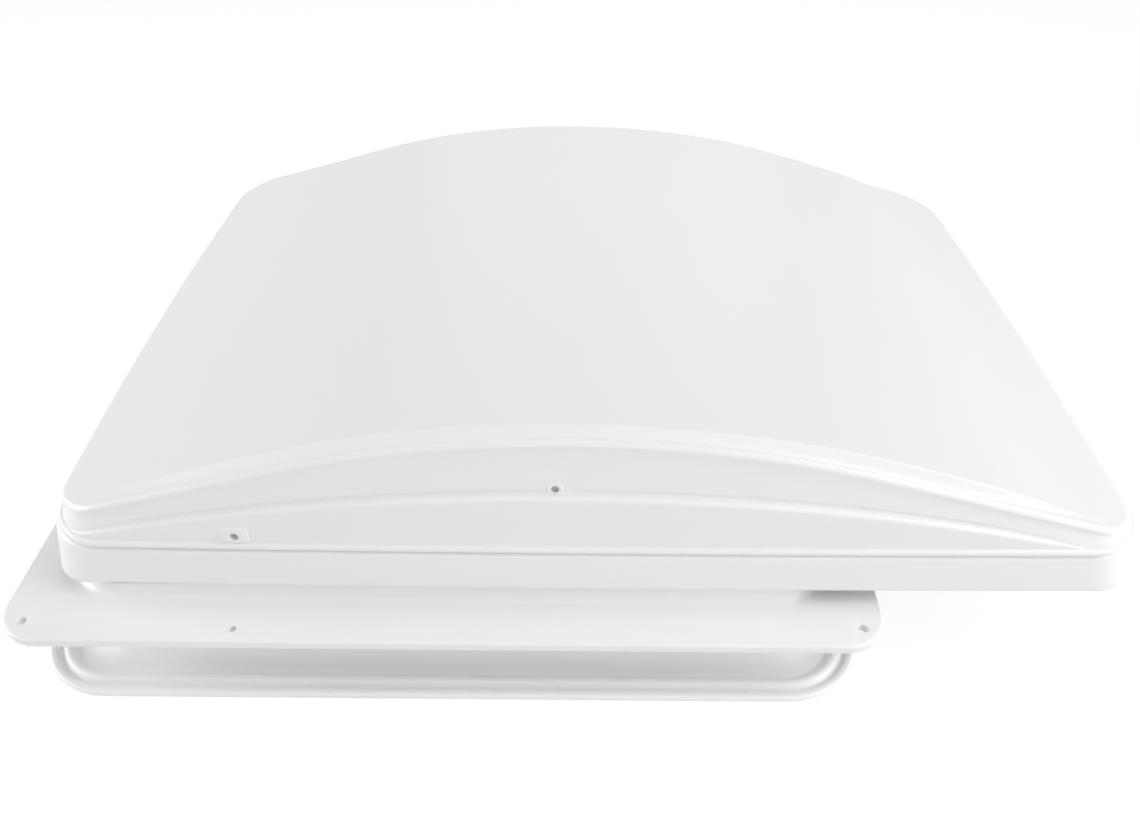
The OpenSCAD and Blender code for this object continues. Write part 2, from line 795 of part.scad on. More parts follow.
// Upright plate with a round head, a foot and a bore
module bearing_plate(at, bore_r, head_r) {
    color(white) difference() {
        union() {
            upright(bearing_y, bearing_y + bearing_t) {
                translate(at) circle(head_r);
                translate([at[0] - head_r, floor_top_z + seat_gap])
                    square([2 * head_r, at[1] - floor_top_z - seat_gap]);
            }
            translate([at[0] - head_r - foot_reach, bearing_y, floor_top_z + seat_gap])
                cube([2 * (head_r + foot_reach), bearing_t, foot_t]);
        }
        along_y(at, bore_r, bearing_y - past, bearing_y + bearing_t + past);
        for (side = [-1, 1])
            translate([at[0] + side * bearing_screw_x(head_r), bearing_y + bearing_t / 2, floor_top_z])
                cylinder(r = screw_r + run_gap, h = foot_t + past);
    }
}

function bearing_screw_x(head_r) = head_r + foot_reach / 2;

// Screw places of the four bearings, on the base's floor
module bearing_screw_places() {
    foot_y = bearing_y + bearing_t / 2;
    for (side = [-1, 1], end = [-1, 1]) {
        translate([main_base[0] + end * bearing_screw_x(shaft_eye_r), side * foot_y, 0]) children();
        translate([front_base[0] + end * bearing_screw_x(pin_eye_r), side * foot_y, 0]) children();
    }
}

// Screw places of the worm bracket's foot
module bracket_foot_places() {
    for (side = [-1, 1])
        translate([back_x - foot_reach / 2, -worm_y + side * bracket_deep / 4, 0]) children();
}

module shaft_bearing_left() { on_side(true) bearing_plate(main_base, shaft_r + run_gap, shaft_eye_r); }
module shaft_bearing_right() { on_side(false) bearing_plate(main_base, shaft_r + run_gap, shaft_eye_r); }
module front_bearing_left() { on_side(true) bearing_plate(front_base, pin_r + run_gap, pin_eye_r); }
module front_bearing_right() { on_side(false) bearing_plate(front_base, pin_r + run_gap, pin_eye_r); }

module bearing_screws() {
    seat_z = floor_top_z + seat_gap + foot_t + run_gap;
    color(steel) {
        bearing_screw_places() translate([0, 0, seat_z]) mirror([0, 0, 1]) pan_screw(foot_t + floor_t);
        bracket_foot_places() translate([0, 0, seat_z]) mirror([0, 0, 1]) pan_screw(foot_t + floor_t);
    }
}

// Flat arm with an eye at each end, lying on the right side of the vent
module arm(low_end, top_end, low_r, low_eye_r) {
    run = top_end - low_end;
    color(grey) difference() {
        upright(arm_y, arm_out_y) {
            translate(low_end) circle(low_eye_r);
            translate(top_end) circle(pin_eye_r);
            translate(low_end) rotate(atan2(run[1], run[0])) translate([0, -arm_w / 2])
                square([norm(run), arm_w]);
        }
        along_y(low_end, low_r + run_gap, arm_y - past, arm_out_y + past);
        along_y(top_end, pin_r + run_gap, arm_y - past, arm_out_y + past);
    }
}
module lift_arm_left() { on_side(true) arm(main_base, main_top, shaft_r, shaft_eye_r); }
module lift_arm_right() { on_side(false) arm(main_base, main_top, shaft_r, shaft_eye_r); }
module front_arm_left() { on_side(true) arm(front_base, front_top, pin_r, pin_eye_r); }
module front_arm_right() { on_side(false) arm(front_base, front_top, pin_r, pin_eye_r); }

// Headed pins of the front arms, fixed in their bearings
module front_pins() {
    color(steel) for (left = [true, false]) on_side(left) {
        along_y(front_base, pin_r, bearing_y, arm_out_y + 2 * seat_gap);
        along_y(front_base, pin_eye_r - past, arm_out_y + seat_gap, arm_out_y + seat_gap + pin_head_h);
    }
}

// Worm wheel on the cross shaft, with a tooth gap facing the worm at rest
module worm_wheel() {
    root_r = wheel_r - tooth_deep;
    tip_r = wheel_r + tooth_high;
    hub = 2 * shaft_r;
    color(grey) difference() {
        union() {
            translate([0, -worm_y, 0]) upright(-wheel_w / 2, wheel_w / 2) translate(main_base) {
                circle(root_r);
                for (i = [0:wheel_teeth - 1]) rotate((i + 0.5) * 360 / wheel_teeth)
                    polygon([
                        [root_r - past, -tooth_root_w / 2], [tip_r, -tooth_tip_w / 2],
                        [tip_r, tooth_tip_w / 2], [root_r - past, tooth_root_w / 2]
                    ]);
            }
            translate([0, -worm_y, 0]) along_y(main_base, hub, -wheel_w, wheel_w);
        }
        translate([0, -worm_y, 0])
            along_y(main_base, shaft_r + run_gap, -wheel_w - past, wheel_w + past);
    }
}

// Thread of the worm: a trapezium carried along a right-hand helix
function thread_section(i) =
    let(angle = i * 360 / thread_steps, z = i * worm_pitch / thread_steps,
        low_r = worm_r - tooth_deep - past / 2, high_r = worm_r + tooth_high)
    [for (p = [[low_r, -thread_root_w / 2], [high_r, -thread_tip_w / 2],
               [high_r, thread_tip_w / 2], [low_r, thread_root_w / 2]])
        [p[0] * cos(angle), p[0] * sin(angle), z + p[1]]];

module worm_thread() {
    half = worm_turns * thread_steps / 2;
    last = 2 * half;
    points = [for (i = [-half:half]) each thread_section(i)];
    sides = [for (s = [0:last - 1], k = [0:3], half_face = [0, 1])
        let(a = 4 * s + k, b = 4 * s + (k + 1) % 4)
        half_face == 0 ? [a, b, a + 4] : [b, b + 4, a + 4]];
    first_end = [[0, 2, 1], [0, 3, 2]];
    last_end = [for (f = first_end) [for (k = [2, 1, 0]) f[k] + 4 * last]];
    polyhedron(points, concat(sides, first_end, last_end));
}

module worm_spindle() {
    low_z = knob_top_z - knob_h / 2;
    core_r = worm_r - tooth_deep;
    color(steel) translate([worm_x, -worm_y, 0]) {
        translate([0, 0, low_z]) cylinder(r = spindle_r, h = ear_high_z + ear_t - low_z);
        translate([0, 0, main_base[1] - worm_half - worm_pitch / 2])
            cylinder(r = core_r, h = 2 * worm_half + worm_pitch);
        translate([0, 0, main_base[1]]) worm_thread();
    }
}

// C-shaped bracket whose two ears carry the worm
module worm_bracket() {
    ear_len = worm_x + spindle_r + eye_wall - back_x;
    color(white) difference() {
        translate([back_x, -worm_y - bracket_deep / 2, 0]) {
            translate([0, 0, floor_top_z + seat_gap])
                cube([bracket_back, bracket_deep, ear_high_z + ear_t - floor_top_z - seat_gap]);
            for (z = [ear_low_z, ear_high_z]) translate([0, 0, z]) cube([ear_len, bracket_deep, ear_t]);
            translate([-foot_reach, 0, floor_top_z + seat_gap])
                cube([foot_reach + past, bracket_deep, foot_t]);
        }
        bracket_foot_places() translate([0, 0, floor_top_z])
            cylinder(r = screw_r + run_gap, h = foot_t + past);
        translate([worm_x, -worm_y, ear_low_z - past])
            cylinder(r = spindle_r + run_gap, h = ear_high_z - ear_low_z + ear_t + 2 * past);
    }
}

module lift_knob() {
    color(grey) translate([worm_x, -worm_y, knob_top_z - knob_h]) difference() {
        cylinder(r = knob_r, h = knob_h);
        for (i = [0:knob_scallops - 1]) rotate(i * 360 / knob_scallops)
            translate([knob_r + scallop_r / 2, 0, -past]) cylinder(r = scallop_r, h = knob_h + 2 * past);
        translate([0, 0, knob_h / 2 - run_gap]) cylinder(r = spindle_r + run_gap, h = knob_h);
    }
}

// Section carried along the lid's arch, over the round crest and down both straight flanks;
// x in the section is the height above the arch, y runs across the lid.
// The round part runs on below the flanks, so that they cross it at a clear angle
module along_arch() {
    round_angle = flank_angle + flank_run_on;
    translate([crest_x, 0, arch_top_z - arch_r]) rotate([90, 0, 0]) {
        rotate(90 - round_angle) rotate_extrude(angle = 2 * round_angle, $fn = 4 * ring_fn)
            translate([arch_r, 0]) children();
        for (side = [0, 1]) mirror([side, 0, 0]) rotate(90 - flank_angle) rotate([90, 0, 0])
            linear_extrude(body_len) translate([arch_r - flank_set, 0]) children();
    }
}

// Solid under a surface that runs parallel to the arch, at a height above it
module arch_slab(rise) {
    half = body_wid / 2 + past;
    along_arch() translate([-arch_deep, -half]) square([arch_deep + rise, 2 * half]);
}

// Segment under the step's arch
module step_profile(low) {
    intersection() {
        translate([crest_x, step_top_z - step_arch_r]) circle(step_arch_r, $fn = 2 * ring_fn);
        translate([-body_front, low]) square([body_len, step_top_z]);
    }
}

// Prism along Y whose two long faces lean inwards by the lid's draft
module lean_prism(half_len, half_wid, high) {
    rotate([90, 0, 0]) linear_extrude(2 * half_wid, center = true)
        polygon([
            [-half_len, 0], [half_len, 0], [half_len - lid_draft, high], [lid_draft - half_len, high]
        ]);
}

// Upper walls of the lid, which lean inwards as they rise
module leaning_slab(inset, low) {
    half_x = body_len / 2 - inset;
    half_y = body_wid / 2 - inset;
    r = max(body_corner_r - inset, lid_draft + corner_least);
    high = crown_top_z + past - low;
    translate([body_mid_x, 0, low]) {
        lean_prism(half_x, half_y - r, high);
        rotate(90) lean_prism(half_y, half_x - r, high);
        at_corners(half_x - r, half_y - r) cylinder(r1 = r, r2 = r - lid_draft, h = high);
    }
}

// Crown panel that stands above the arch
module crown(inset) {
    intersection() {
        arch_slab(crown_rise - inset);
        translate([body_mid_x, 0, lid_z]) linear_extrude(crown_top_z)
            rounded(body_len - 2 * (crown_end + inset), body_wid - 2 * (crown_side + inset), crown_corner_r);
    }
}

module lid_dome() {
    upper = panel_inset + step_w;
    side = body_wid / 2 + past;
    inside_z = lid_z + lip_h - past;
    lean = lid_draft * (main_pivot_z - lid_z) / (crown_top_z - lid_z);
    main_face_y = body_wid / 2 - upper - lean;
    pin_ring_r = pin_end_r + pin_ring_w;
    pad_len = 16;
    pad_h = 11;
    pad_rise = 1;
    color(white) difference() {
        union() {
            difference() {
                union() {
                    body_slab(0, lid_z, lid_z + lip_h);
                    intersection() {
                        body_slab(panel_inset, lid_z, crown_top_z);
                        upright(-side, side) step_profile(lid_z);
                    }
                    intersection() {
                        leaning_slab(upper, lid_z);
                        arch_slab(0);
                    }
                    crown(0);
                }
                body_slab(lip_w, lid_z - past, inside_z + past);
                intersection() {
                    leaning_slab(upper + lid_wall, inside_z);
                    arch_slab(-lid_wall);
                }
                crown(lid_wall);
            }
            for (left = [true, false]) on_side(left) {
                along_y(front_top, pin_boss_r, arm_out_y + seat_gap, body_wid / 2 - panel_inset - past);
                along_y(main_top, pin_boss_r, arm_out_y + seat_gap, main_face_y - past);
                along_y(main_top, pin_ring_r, main_face_y - lid_wall, main_face_y + panel_inset);
                upright(body_wid / 2 - panel_inset - past, body_wid / 2 - panel_inset / 4)
                    translate(front_top + [0, pad_rise]) rounded(pad_len, pad_h, pad_h / 2 - pad_rise);
            }
        }
        for (left = [true, false], at = [front_top, main_top]) on_side(left)
            along_y(at, pin_end_r + run_gap, arm_y, side);
    }
}

// Lid pivots: a journal in each arm's eye, screwed into the lid's bosses
module lid_pins() {
    end_y = body_wid / 2 - panel_inset - step_w - lid_wall;
    color(steel) for (left = [true, false], at = [front_top, main_top]) on_side(left) {
        along_y(at, pin_r, arm_y - pin_head_h / 2, arm_out_y + seat_gap / 2);
        along_y(at, pin_end_r, arm_out_y, end_y);
        along_y(at, pin_eye_r - past, arm_y - 1.5 * pin_head_h, arm_y - pin_head_h / 2 + run_gap);
    }
}

// Row of push buttons on the control panel
module button_places() {
    for (i = [0:len(buttons) - 1])
        translate([button_place(i)[0], button_place(i)[1], 0]) children();
}
function button_place(i) = [-panel_x + (i - (len(buttons) - 1) / 2) * button_pitch, -panel_y];

module control_panel() {
    post_in = panel_rim + panel_post_r + seat_gap;
    color(white) difference() {
        translate([-panel_x, -panel_y, 0]) {
            translate([0, 0, panel_low_z]) linear_extrude(plate_t) rounded(panel_len, panel_wid, panel_rim);
            for (x = [-1, 1], y = [-1, 1])
                translate([x * (panel_len / 2 - post_in), y * (panel_wid / 2 - post_in), panel_low_z])
                    cylinder(r = panel_post_r, h = board_z - run_gap - panel_low_z);
        }
        button_places() translate([0, 0, panel_low_z - past])
            cylinder(r = button_r + run_gap, h = plate_t + 2 * past);
    }
}

// Circuit board on the panel's posts, with one switch over each button
module control_board() {
    color("darkgreen") {
        translate([-panel_x, -panel_y, board_z]) linear_extrude(board_t)
            square([panel_len - 2 * board_in, panel_wid - 2 * board_in], center = true);
        button_places() translate([-switch_w / 2, -switch_w / 2, board_z - switch_h])
            cube([switch_w, switch_w, switch_h + past]);
    }
}

module button(i) {
    back_z = panel_low_z + plate_t + seat_gap;
    color(grey) translate([button_place(i)[0], button_place(i)[1], 0]) {
        translate([0, 0, panel_low_z - button_proud])
            cylinder(r = button_r, h = button_top_z - panel_low_z + button_proud);
        translate([0, 0, back_z]) cylinder(r = button_r + button_flange, h = button_flange_t);
    }
}
module button_power() { button(0); }
module button_faster() { button(1); }
module button_slower() { button(2); }
module button_reverse() { button(3); }

roof_flange();
neck_seal();
base_housing();
housing_screws();
rim_seal();
wire_grommet();
inner_bezel();
ceiling_garnish();
garnish_screws();
screen_frame();
screen_net();
screen_latch_front();
screen_latch_rear();
screen_latch_left();
screen_latch_right();
motor_bracket();
bracket_screws();
motor();
motor_screws();
motor_shaft();
fan_rotor();
fan_nut();
lift_shaft();
shaft_bearing_left();
shaft_bearing_right();
bearing_screws();
lift_arm_left();
lift_arm_right();
worm_wheel();
worm_spindle();
worm_bracket();
lift_knob();
front_bearing_left();
front_bearing_right();
front_pins();
front_arm_left();
front_arm_right();
lid_dome();
lid_pins();
control_panel();
control_board();
button_power();
button_faster();
button_slower();
button_reverse();
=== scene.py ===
import bpy
import numpy as np
from mathutils import Matrix


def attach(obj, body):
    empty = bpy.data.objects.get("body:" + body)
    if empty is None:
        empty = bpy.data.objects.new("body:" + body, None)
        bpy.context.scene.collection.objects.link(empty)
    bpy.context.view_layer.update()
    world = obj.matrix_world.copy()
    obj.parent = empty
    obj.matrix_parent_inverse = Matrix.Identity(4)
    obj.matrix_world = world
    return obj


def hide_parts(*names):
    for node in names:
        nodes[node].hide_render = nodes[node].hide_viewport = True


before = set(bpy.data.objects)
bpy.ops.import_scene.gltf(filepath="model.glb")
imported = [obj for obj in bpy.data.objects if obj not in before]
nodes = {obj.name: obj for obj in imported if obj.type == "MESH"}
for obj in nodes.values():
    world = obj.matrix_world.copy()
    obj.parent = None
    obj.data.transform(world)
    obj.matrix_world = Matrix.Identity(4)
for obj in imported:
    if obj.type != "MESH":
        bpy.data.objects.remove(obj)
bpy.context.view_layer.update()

# Roof flange: the square plate that is screwed down over the roof opening, with the upright neck that
# carries the base. Injection-moulded white plastic with rounded edges; sealant goes under its rim.
MM = 0.001


def rounded_rings(half_x, half_y, corner, shares, arc_steps):
    """Rings around rounded rectangles, one for each half_x, half_y and corner radius.
    A corner is a quarter circle about (half_x - corner, half_y - corner). A side is the straight
    line from one corner to the next, cut at its shares. Rings run anticlockwise from +X.
    """
    half = np.stack(np.broadcast_arrays(half_x, half_y), -1).astype(float)
    radius = np.broadcast_to(corner, half.shape[:1]).astype(float)
    sign = np.array([[1, 1], [-1, 1], [-1, -1], [1, -1]])
    turn = np.linspace(0, np.pi / 2, arc_steps + 1) + np.arange(4)[:, None] * np.pi / 2
    spoke = np.stack([np.cos(turn), np.sin(turn)], -1)
    hub = (half - radius[:, None])[:, None, :] * sign
    arcs = hub[:, :, None, :] + radius[:, None, None, None] * spoke
    ends = arcs[:, :, -1]
    run = np.roll(arcs[:, :, 0], -1, axis=1) - ends
    sides = [ends[:, i, None] + run[:, i, None] * shares[i][:, None] for i in range(4)]
    return np.concatenate([part for i in range(4) for part in (arcs[:, i], sides[i])], 1)


def circle_arc(centre, radius, start, end, steps):
    """Points (out, up) on a circle, or an ellipse of two radii, from one angle to another in degrees."""
    turn = np.radians(np.linspace(start, end, steps))
    return np.array(centre) + np.stack([np.cos(turn), np.sin(turn)], -1) * radius


def grid_quads(rows, cols, wrap_rows=False, open_blocks=()):
    """Quads of a grid whose columns run all the way round; its rows join too where wrap_rows is set.
    A block (first row, last row, first column, last column) is left open for a hole."""
    r, c = np.mgrid[0 : rows - (not wrap_rows), 0:cols]
    keep = np.ones(r.shape, bool)
    for r0, r1, c0, c1 in open_blocks:
        keep[r0:r1, c0:c1] = False
    r, c = r[keep], c[keep]
    r2, c2 = (r + 1) % rows, (c + 1) % cols
    return np.stack([r * cols + c, r * cols + c2, r2 * cols + c2, r2 * cols + c], -1)


def block_loop(rows, cols, width):
    """Point numbers once around a block of a grid, for the rows and columns on its edge."""
    return np.concatenate(
        [
            rows[0] * width + cols[:-1],
            rows[:-1] * width + cols[-1],
            rows[-1] * width + cols[:0:-1],
            rows[:0:-1] * width + cols[0],
        ]
    )


def strip(a, b):
    """Quads between two loops with the same number of points."""
    return np.stack([a, np.roll(a, -1), np.roll(b, -1), b], -1)


def fan(loop, tip):
    """Triangles from a loop to one point."""
    return np.stack([loop, np.roll(loop, -1), np.full(len(loop), tip)], -1)


def make_piece(name, shells, finish, sharp=38.0):
    """Object made of closed shells, each its points in millimetres and its arrays of faces.
    A shell whose volume, a sixth of the sum of its corners' triple products, is negative is turned."""
    points, faces, count = [], [], 0
    for shell_points, groups in shells:
        sign = 0.0
        for g in groups:
            for i in range(1, g.shape[1] - 1):
                a, b, c = (shell_points[g[:, k]] for k in (0, i, i + 1))
                sign += np.einsum("ij,ij->", a, np.cross(b, c))
        for g in groups:
            faces += ((g[:, ::-1] if sign < 0 else g) + count).tolist()
        points.append(shell_points)
        count += len(shell_points)
    mesh = bpy.data.meshes.new(name)
    mesh.from_pydata(np.concatenate(points) * MM, [], faces)
    mesh.shade_smooth()
    mesh.set_sharp_from_angle(angle=np.radians(sharp))
    mesh.materials.append(finish)
    piece = bpy.data.objects.new(name, mesh)
    bpy.context.scene.collection.objects.link(piece)
    return piece


def turned(profile, at, steps=40, closed=True):
    """Shell of a profile (radius, height) turned about the upright axis through the point at.
    A closed profile joins its last point to its first; an open one ends on the axis at both ends."""
    angle = np.linspace(0, 2 * np.pi, steps, endpoint=False)
    ring = np.stack([np.cos(angle), np.sin(angle), 0 * angle], -1)
    profile = np.asarray(profile, float)
    body = profile if closed else profile[1:-1]
    p = body[:, None, :1] * ring + np.array([0, 0, 1.0]) * body[:, None, 1:] + np.array(at, float)
    quads = grid_quads(len(body), steps, wrap_rows=closed)
    p = p.reshape(-1, 3)
    if closed:
        return p, [quads]
    tips = np.array([[at[0], at[1], at[2] + profile[i, 1]] for i in (0, -1)])
    n = len(p)
    last = np.arange(n - steps, n)
    return np.concatenate([p, tips]), [quads, fan(np.arange(steps)[::-1], n), fan(last, n + 1)]


def four_turned(profile, x, y, closed=True):
    """A turned shell at each of the four places that x and y give with both signs."""
    return [turned(profile, (a, b, 0), closed=closed) for a in (-x, x) for b in (-y, y)]


def moulded(name, light, shade, rough, cloud=7.0, grain=900.0, depth=0.02, metal=0.0):
    """Procedural finish on Object coordinates: a cloudy noise moves the colour from shade to light
    and the roughness a little about its value, and a fine noise gives the moulded grain as a bump."""
    made = bpy.data.materials.new(name)
    made.use_nodes = True
    tree, link = made.node_tree, made.node_tree.links.new
    shader = tree.nodes["Principled BSDF"]
    shader.inputs["Metallic"].default_value = metal
    place = tree.nodes.new("ShaderNodeTexCoord")
    clouds = tree.nodes.new("ShaderNodeTexNoise")
    clouds.inputs["Scale"].default_value = cloud
    clouds.inputs["Detail"].default_value = 4.0
    tone = tree.nodes.new("ShaderNodeMix")
    tone.data_type = "RGBA"
    tone.inputs["A"].default_value = (*shade, 1)
    tone.inputs["B"].default_value = (*light, 1)
    gloss = tree.nodes.new("ShaderNodeMapRange")
    gloss.inputs["To Min"].default_value = rough * 0.85
    gloss.inputs["To Max"].default_value = rough * 1.15
    fine = tree.nodes.new("ShaderNodeTexNoise")
    fine.inputs["Scale"].default_value = grain
    fine.inputs["Detail"].default_value = 2.0
    bump = tree.nodes.new("ShaderNodeBump")
    bump.inputs["Strength"].default_value = depth
    bump.inputs["Distance"].default_value = MM
    link(place.outputs["Object"], clouds.inputs["Vector"])
    link(place.outputs["Object"], fine.inputs["Vector"])
    link(clouds.outputs["Fac"], tone.inputs["Factor"])
    link(clouds.outputs["Fac"], gloss.inputs["Value"])
    link(fine.outputs["Fac"], bump.inputs["Height"])
    link(tone.outputs["Result"], shader.inputs["Base Color"])
    link(gloss.outputs["Result"], shader.inputs["Roughness"])
    link(bump.outputs["Normal"], shader.inputs["Normal"])
    return made


shell_white = moulded("shell_white", (0.87, 0.87, 0.87), (0.85, 0.85, 0.852), 0.34)

opening_half, neck_top, neck_t, neck_edge, cove_r = 200.0, 13.5, 4.0, 0.5, 7.0
plate_top, rim_w, rim_top_r, rim_low_r, foot_edge = 5.5, 37.0, 1.3, 0.7, 0.4
corner_hole_r, side_hole_r, hole_step, hole_cols = 2.4, 1.8, 1.2, np.arange(-4, 5)
corner_hole_at, side_hole_x, side_hole_out = 224.0, 111.0, 28.0
corner_hole_span, side_hole_span = (26.5, 35.5), (23.0, 33.0)
boss_at, boss_low, boss_bore_r, boss_r, boss_edge = 190.0, 1.0, 2.1, 6.5, 0.3
flange_arc, cove_steps, rim_steps, foot_steps = 24, 10, 6, 4
plate_out = np.array([13.5, 16.5, 19.5, 21.8, *np.arange(23.2, 35.3, hole_step)])
neck_points = [
    [0, foot_edge],
    [0, neck_top - neck_edge],
    [neck_edge, neck_top],
    [neck_t - neck_edge, neck_top],
    [neck_t, neck_top - neck_edge],
]
flange_profile = np.concatenate(
    [
        neck_points,
        circle_arc((neck_t + cove_r, plate_top + cove_r), cove_r, 180, 270, cove_steps),
        np.stack([plate_out, 0 * plate_out + plate_top], -1),
        circle_arc((rim_w - rim_top_r, plate_top - rim_top_r), rim_top_r, 90, 0, rim_steps),
        circle_arc((rim_w - rim_low_r, rim_low_r), rim_low_r, 0, -90, foot_steps),
        np.stack([plate_out, 0 * plate_out], -1)[::-1],
        [[foot_edge, 0]],
    ]
)
corner_knots = [0, neck_t, neck_t + cove_r, rim_w], [20, 24, 31, 24]
flange_corner = np.interp(flange_profile[:, 0], *corner_knots)
straight = 2 * (opening_half + side_hole_out - np.interp(side_hole_out, *corner_knots))
hole_mid = (straight / 2 - side_hole_x) / straight
hole_share = hole_mid + hole_cols * hole_step / straight
even = np.linspace(0, 1, 41)[1:-1]
clear = np.abs(even - hole_mid) > 6 * hole_step / straight
flange_share = np.sort(np.concatenate([even[clear], hole_share]))
flange_half = opening_half + flange_profile[:, 0]
flange_ring = rounded_rings(flange_half, flange_half, flange_corner, [flange_share] * 4, flange_arc)
rows, cols = flange_ring.shape[:2]
flange_points = np.concatenate(
    [flange_ring, np.broadcast_to(flange_profile[:, None, 1:], (rows, cols, 1))], -1
)
top_row = len(neck_points) + cove_steps + np.arange(len(plate_out))
low_row = top_row[-1] + rim_steps + foot_steps + 1 + np.arange(len(plate_out))[::-1]
side_cols = cols // 4
first_hole = flange_arc + 1 + int(np.searchsorted(flange_share, hole_share[0]))
flange_holes = []
for i in range(4):
    quarter = np.pi / 2 * i
    spin = np.array([[np.cos(quarter), -np.sin(quarter)], [np.sin(quarter), np.cos(quarter)]])
    corner_cols = i * side_cols + flange_arc // 2 + hole_cols
    near_cols = i * side_cols + first_hole + np.arange(len(hole_cols))
    for at, hole_r, (low, high), across in (
        ((corner_hole_at, corner_hole_at), corner_hole_r, corner_hole_span, corner_cols),
        ((side_hole_x, opening_half + side_hole_out), side_hole_r, side_hole_span, near_cols),
    ):
        picked = np.flatnonzero((plate_out > low) & (plate_out < high))
        flange_holes.append((spin @ np.array(at), hole_r, picked, across))
open_blocks = []
for _, _, picked, across in flange_holes:
    for chosen in (top_row[picked], low_row[picked]):
        open_blocks.append((chosen.min(), chosen.max(), across[0], across[-1]))
flange_faces = [grid_quads(rows, cols, True, open_blocks)]
flange_points = flange_points.reshape(-1, 3)
hole_profile = (1.0, plate_top), (0.35, plate_top - 0.2), (0, plate_top - 0.8), (0, 0.4), (0.4, 0)
for at, hole_r, picked, across in flange_holes:
    upper = block_loop(top_row[picked], across, cols)
    lower = block_loop(low_row[picked], across, cols)
    spread = flange_points[upper, :2] - at
    spread /= np.linalg.norm(spread, axis=1)[:, None]
    chain = [upper]
    for ring_r, ring_z in hole_profile:
        ring = np.concatenate(
            [at + spread * (hole_r + ring_r), np.full((len(upper), 1), ring_z)], -1
        )
        chain.append(len(flange_points) + np.arange(len(upper)))
        flange_points = np.concatenate([flange_points, ring])
    chain.append(lower)
    flange_faces += [strip(a, b) for a, b in zip(chain, chain[1:])]
boss_profile = [
    [boss_bore_r, boss_low],
    [boss_r - boss_edge, boss_low],
    [boss_r, boss_low + boss_edge],
    [boss_r, neck_top - boss_edge],
    [boss_r - boss_edge, neck_top],
    [boss_bore_r, neck_top],
]
bosses = four_turned(boss_profile, boss_at, boss_at)
roof_flange = make_piece("flange_moulding", [(flange_points, flange_faces), *bosses], shell_white)
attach(roof_flange, "base")
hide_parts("roof_flange")

# Base housing: the long tray on the neck, with the smooth outer band, the rim that the lid closes on and
# the round air duct. One white moulding; four screws hold it down on the neck's bosses.
body_mid, body_half_x, body_half_y, body_corner, body_arc = 82.0, 297.0, 207.0, 32.0, 24
front_pivot, main_pivot = np.array([-108.986, 50.0]), np.array([59.014, 82.0])
front_clear, front_step, main_clear, main_step = 12.0, 1.05, 8.0, 0.9
base_low, base_high, floor_top, foot_drop, foot_r, rim_r = 15.0, 41.0, 17.5, 0.5, 4.0, 3.0
band_t, shelf_top, groove_low, rim_low, rim_in, edge_cut = 3.0, 40.0, 38.5, 37.0, 11.0, 0.4
duct_r, duct_out, duct_low, duct_high = 154.0, 157.0, -26.7, 45.0
post_x, post_y, post_r = 150.0, 188.0, 6.0
lug_at, lug_r, lug_low, lug_high = 148.5 * np.sqrt(0.5), 6.0, -16.7, -6.7
front_cols = front_pivot[0] + np.arange(-10, 11) * front_step
main_cols = main_pivot[0] + np.arange(-7, 8) * main_step
near_x = np.linspace(body_corner - body_half_x, body_half_x - body_corner, 107)[1:-1] + body_mid
off_front, off_main = np.abs(near_x - front_pivot[0]), np.abs(near_x - main_pivot[0])
near_x = near_x[(off_front > front_clear) & (off_main > main_clear)]
near_x = np.sort(np.concatenate([near_x, front_cols, main_cols]))
near_share = (near_x - body_mid) / (2 * (body_half_x - body_corner)) + 0.5
end_share = np.linspace(0, 1, 62)[1:-1]
body_share = [1 - near_share[::-1], end_share, near_share, end_share]
body_rings = rounded_rings(
    body_half_x - np.array([0, 1]), body_half_y - np.array([0, 1]), body_corner - np.array([0, 1]),
    body_share, body_arc,
)
body_outline = body_rings[0] + np.array([body_mid, 0])
body_inward = body_rings[1] - body_rings[0]
body_cols = len(body_outline)


def bowed(points):
    """Points moved onto the swelled plan: an end gives way by its bow times the square of the share
    of the half width, and a long side by its bow times the square of the share of the half length."""
    front_bow, rear_bow, side_bow = 6.0, 4.5, 2.0
    along = (points[..., 0] - body_mid) / body_half_x
    across = points[..., 1] / body_half_y
    give = np.where(along < 0, front_bow, rear_bow) * np.sign(along) * np.abs(along) ** 3
    moved = points.copy()
    moved[..., 0] -= give * across**2
    moved[..., 1] *= 1 - side_bow / body_half_y * along**2
    return moved


def body_rows(inset, height):
    """Rows of points at insets from the body's outline, with their heights; both broadcast to rows."""
    inset, height = np.broadcast_arrays(
        np.asarray(inset, float), np.asarray(height, float), np.empty((1, body_cols))
    )[:2]
    plan = body_outline + inset[..., None] * body_inward
    return np.concatenate([plan, height[..., None]], -1)


band = np.concatenate(
    [
        [[foot_r + 1.0, base_low], [foot_r + 0.6, base_low - foot_drop]],
        circle_arc((foot_r, base_low - foot_drop + foot_r), foot_r, 270, 180, 12),
        [[0, 22], [0, 30]],
        circle_arc((rim_r, base_high - rim_r), rim_r, 180, 90, 12),
        [[rim_r + 0.5, base_high], [rim_r + 0.9, base_high - edge_cut]],
        [[rim_r + 0.95, groove_low], [7.65, groove_low], [7.7, shelf_top - edge_cut], [8.1, shelf_top]],
        circle_arc((rim_in - 0.5, shelf_top - 0.5), 0.5, 90, 0, 4),
        [[rim_in, rim_low + 0.2], [rim_in - 0.2, rim_low]],
        [[band_t + edge_cut, rim_low], [band_t, rim_low - edge_cut]],
        [[band_t, floor_top + 1.0], [band_t + 0.3, floor_top + 0.3], [band_t + 1.0, floor_top]],
    ]
)
top_draft, corner_flare, side_flare, front_flare = 0.3, 5.5, 1.5, 3.5
fade_in, fade_w = 3.9, 1.5
end_weight = body_inward[:, 0] ** 2
corner_weight = 4 * end_weight * (1 - end_weight)
front_weight = np.where(body_inward[:, 0] > 0, end_weight, 0)
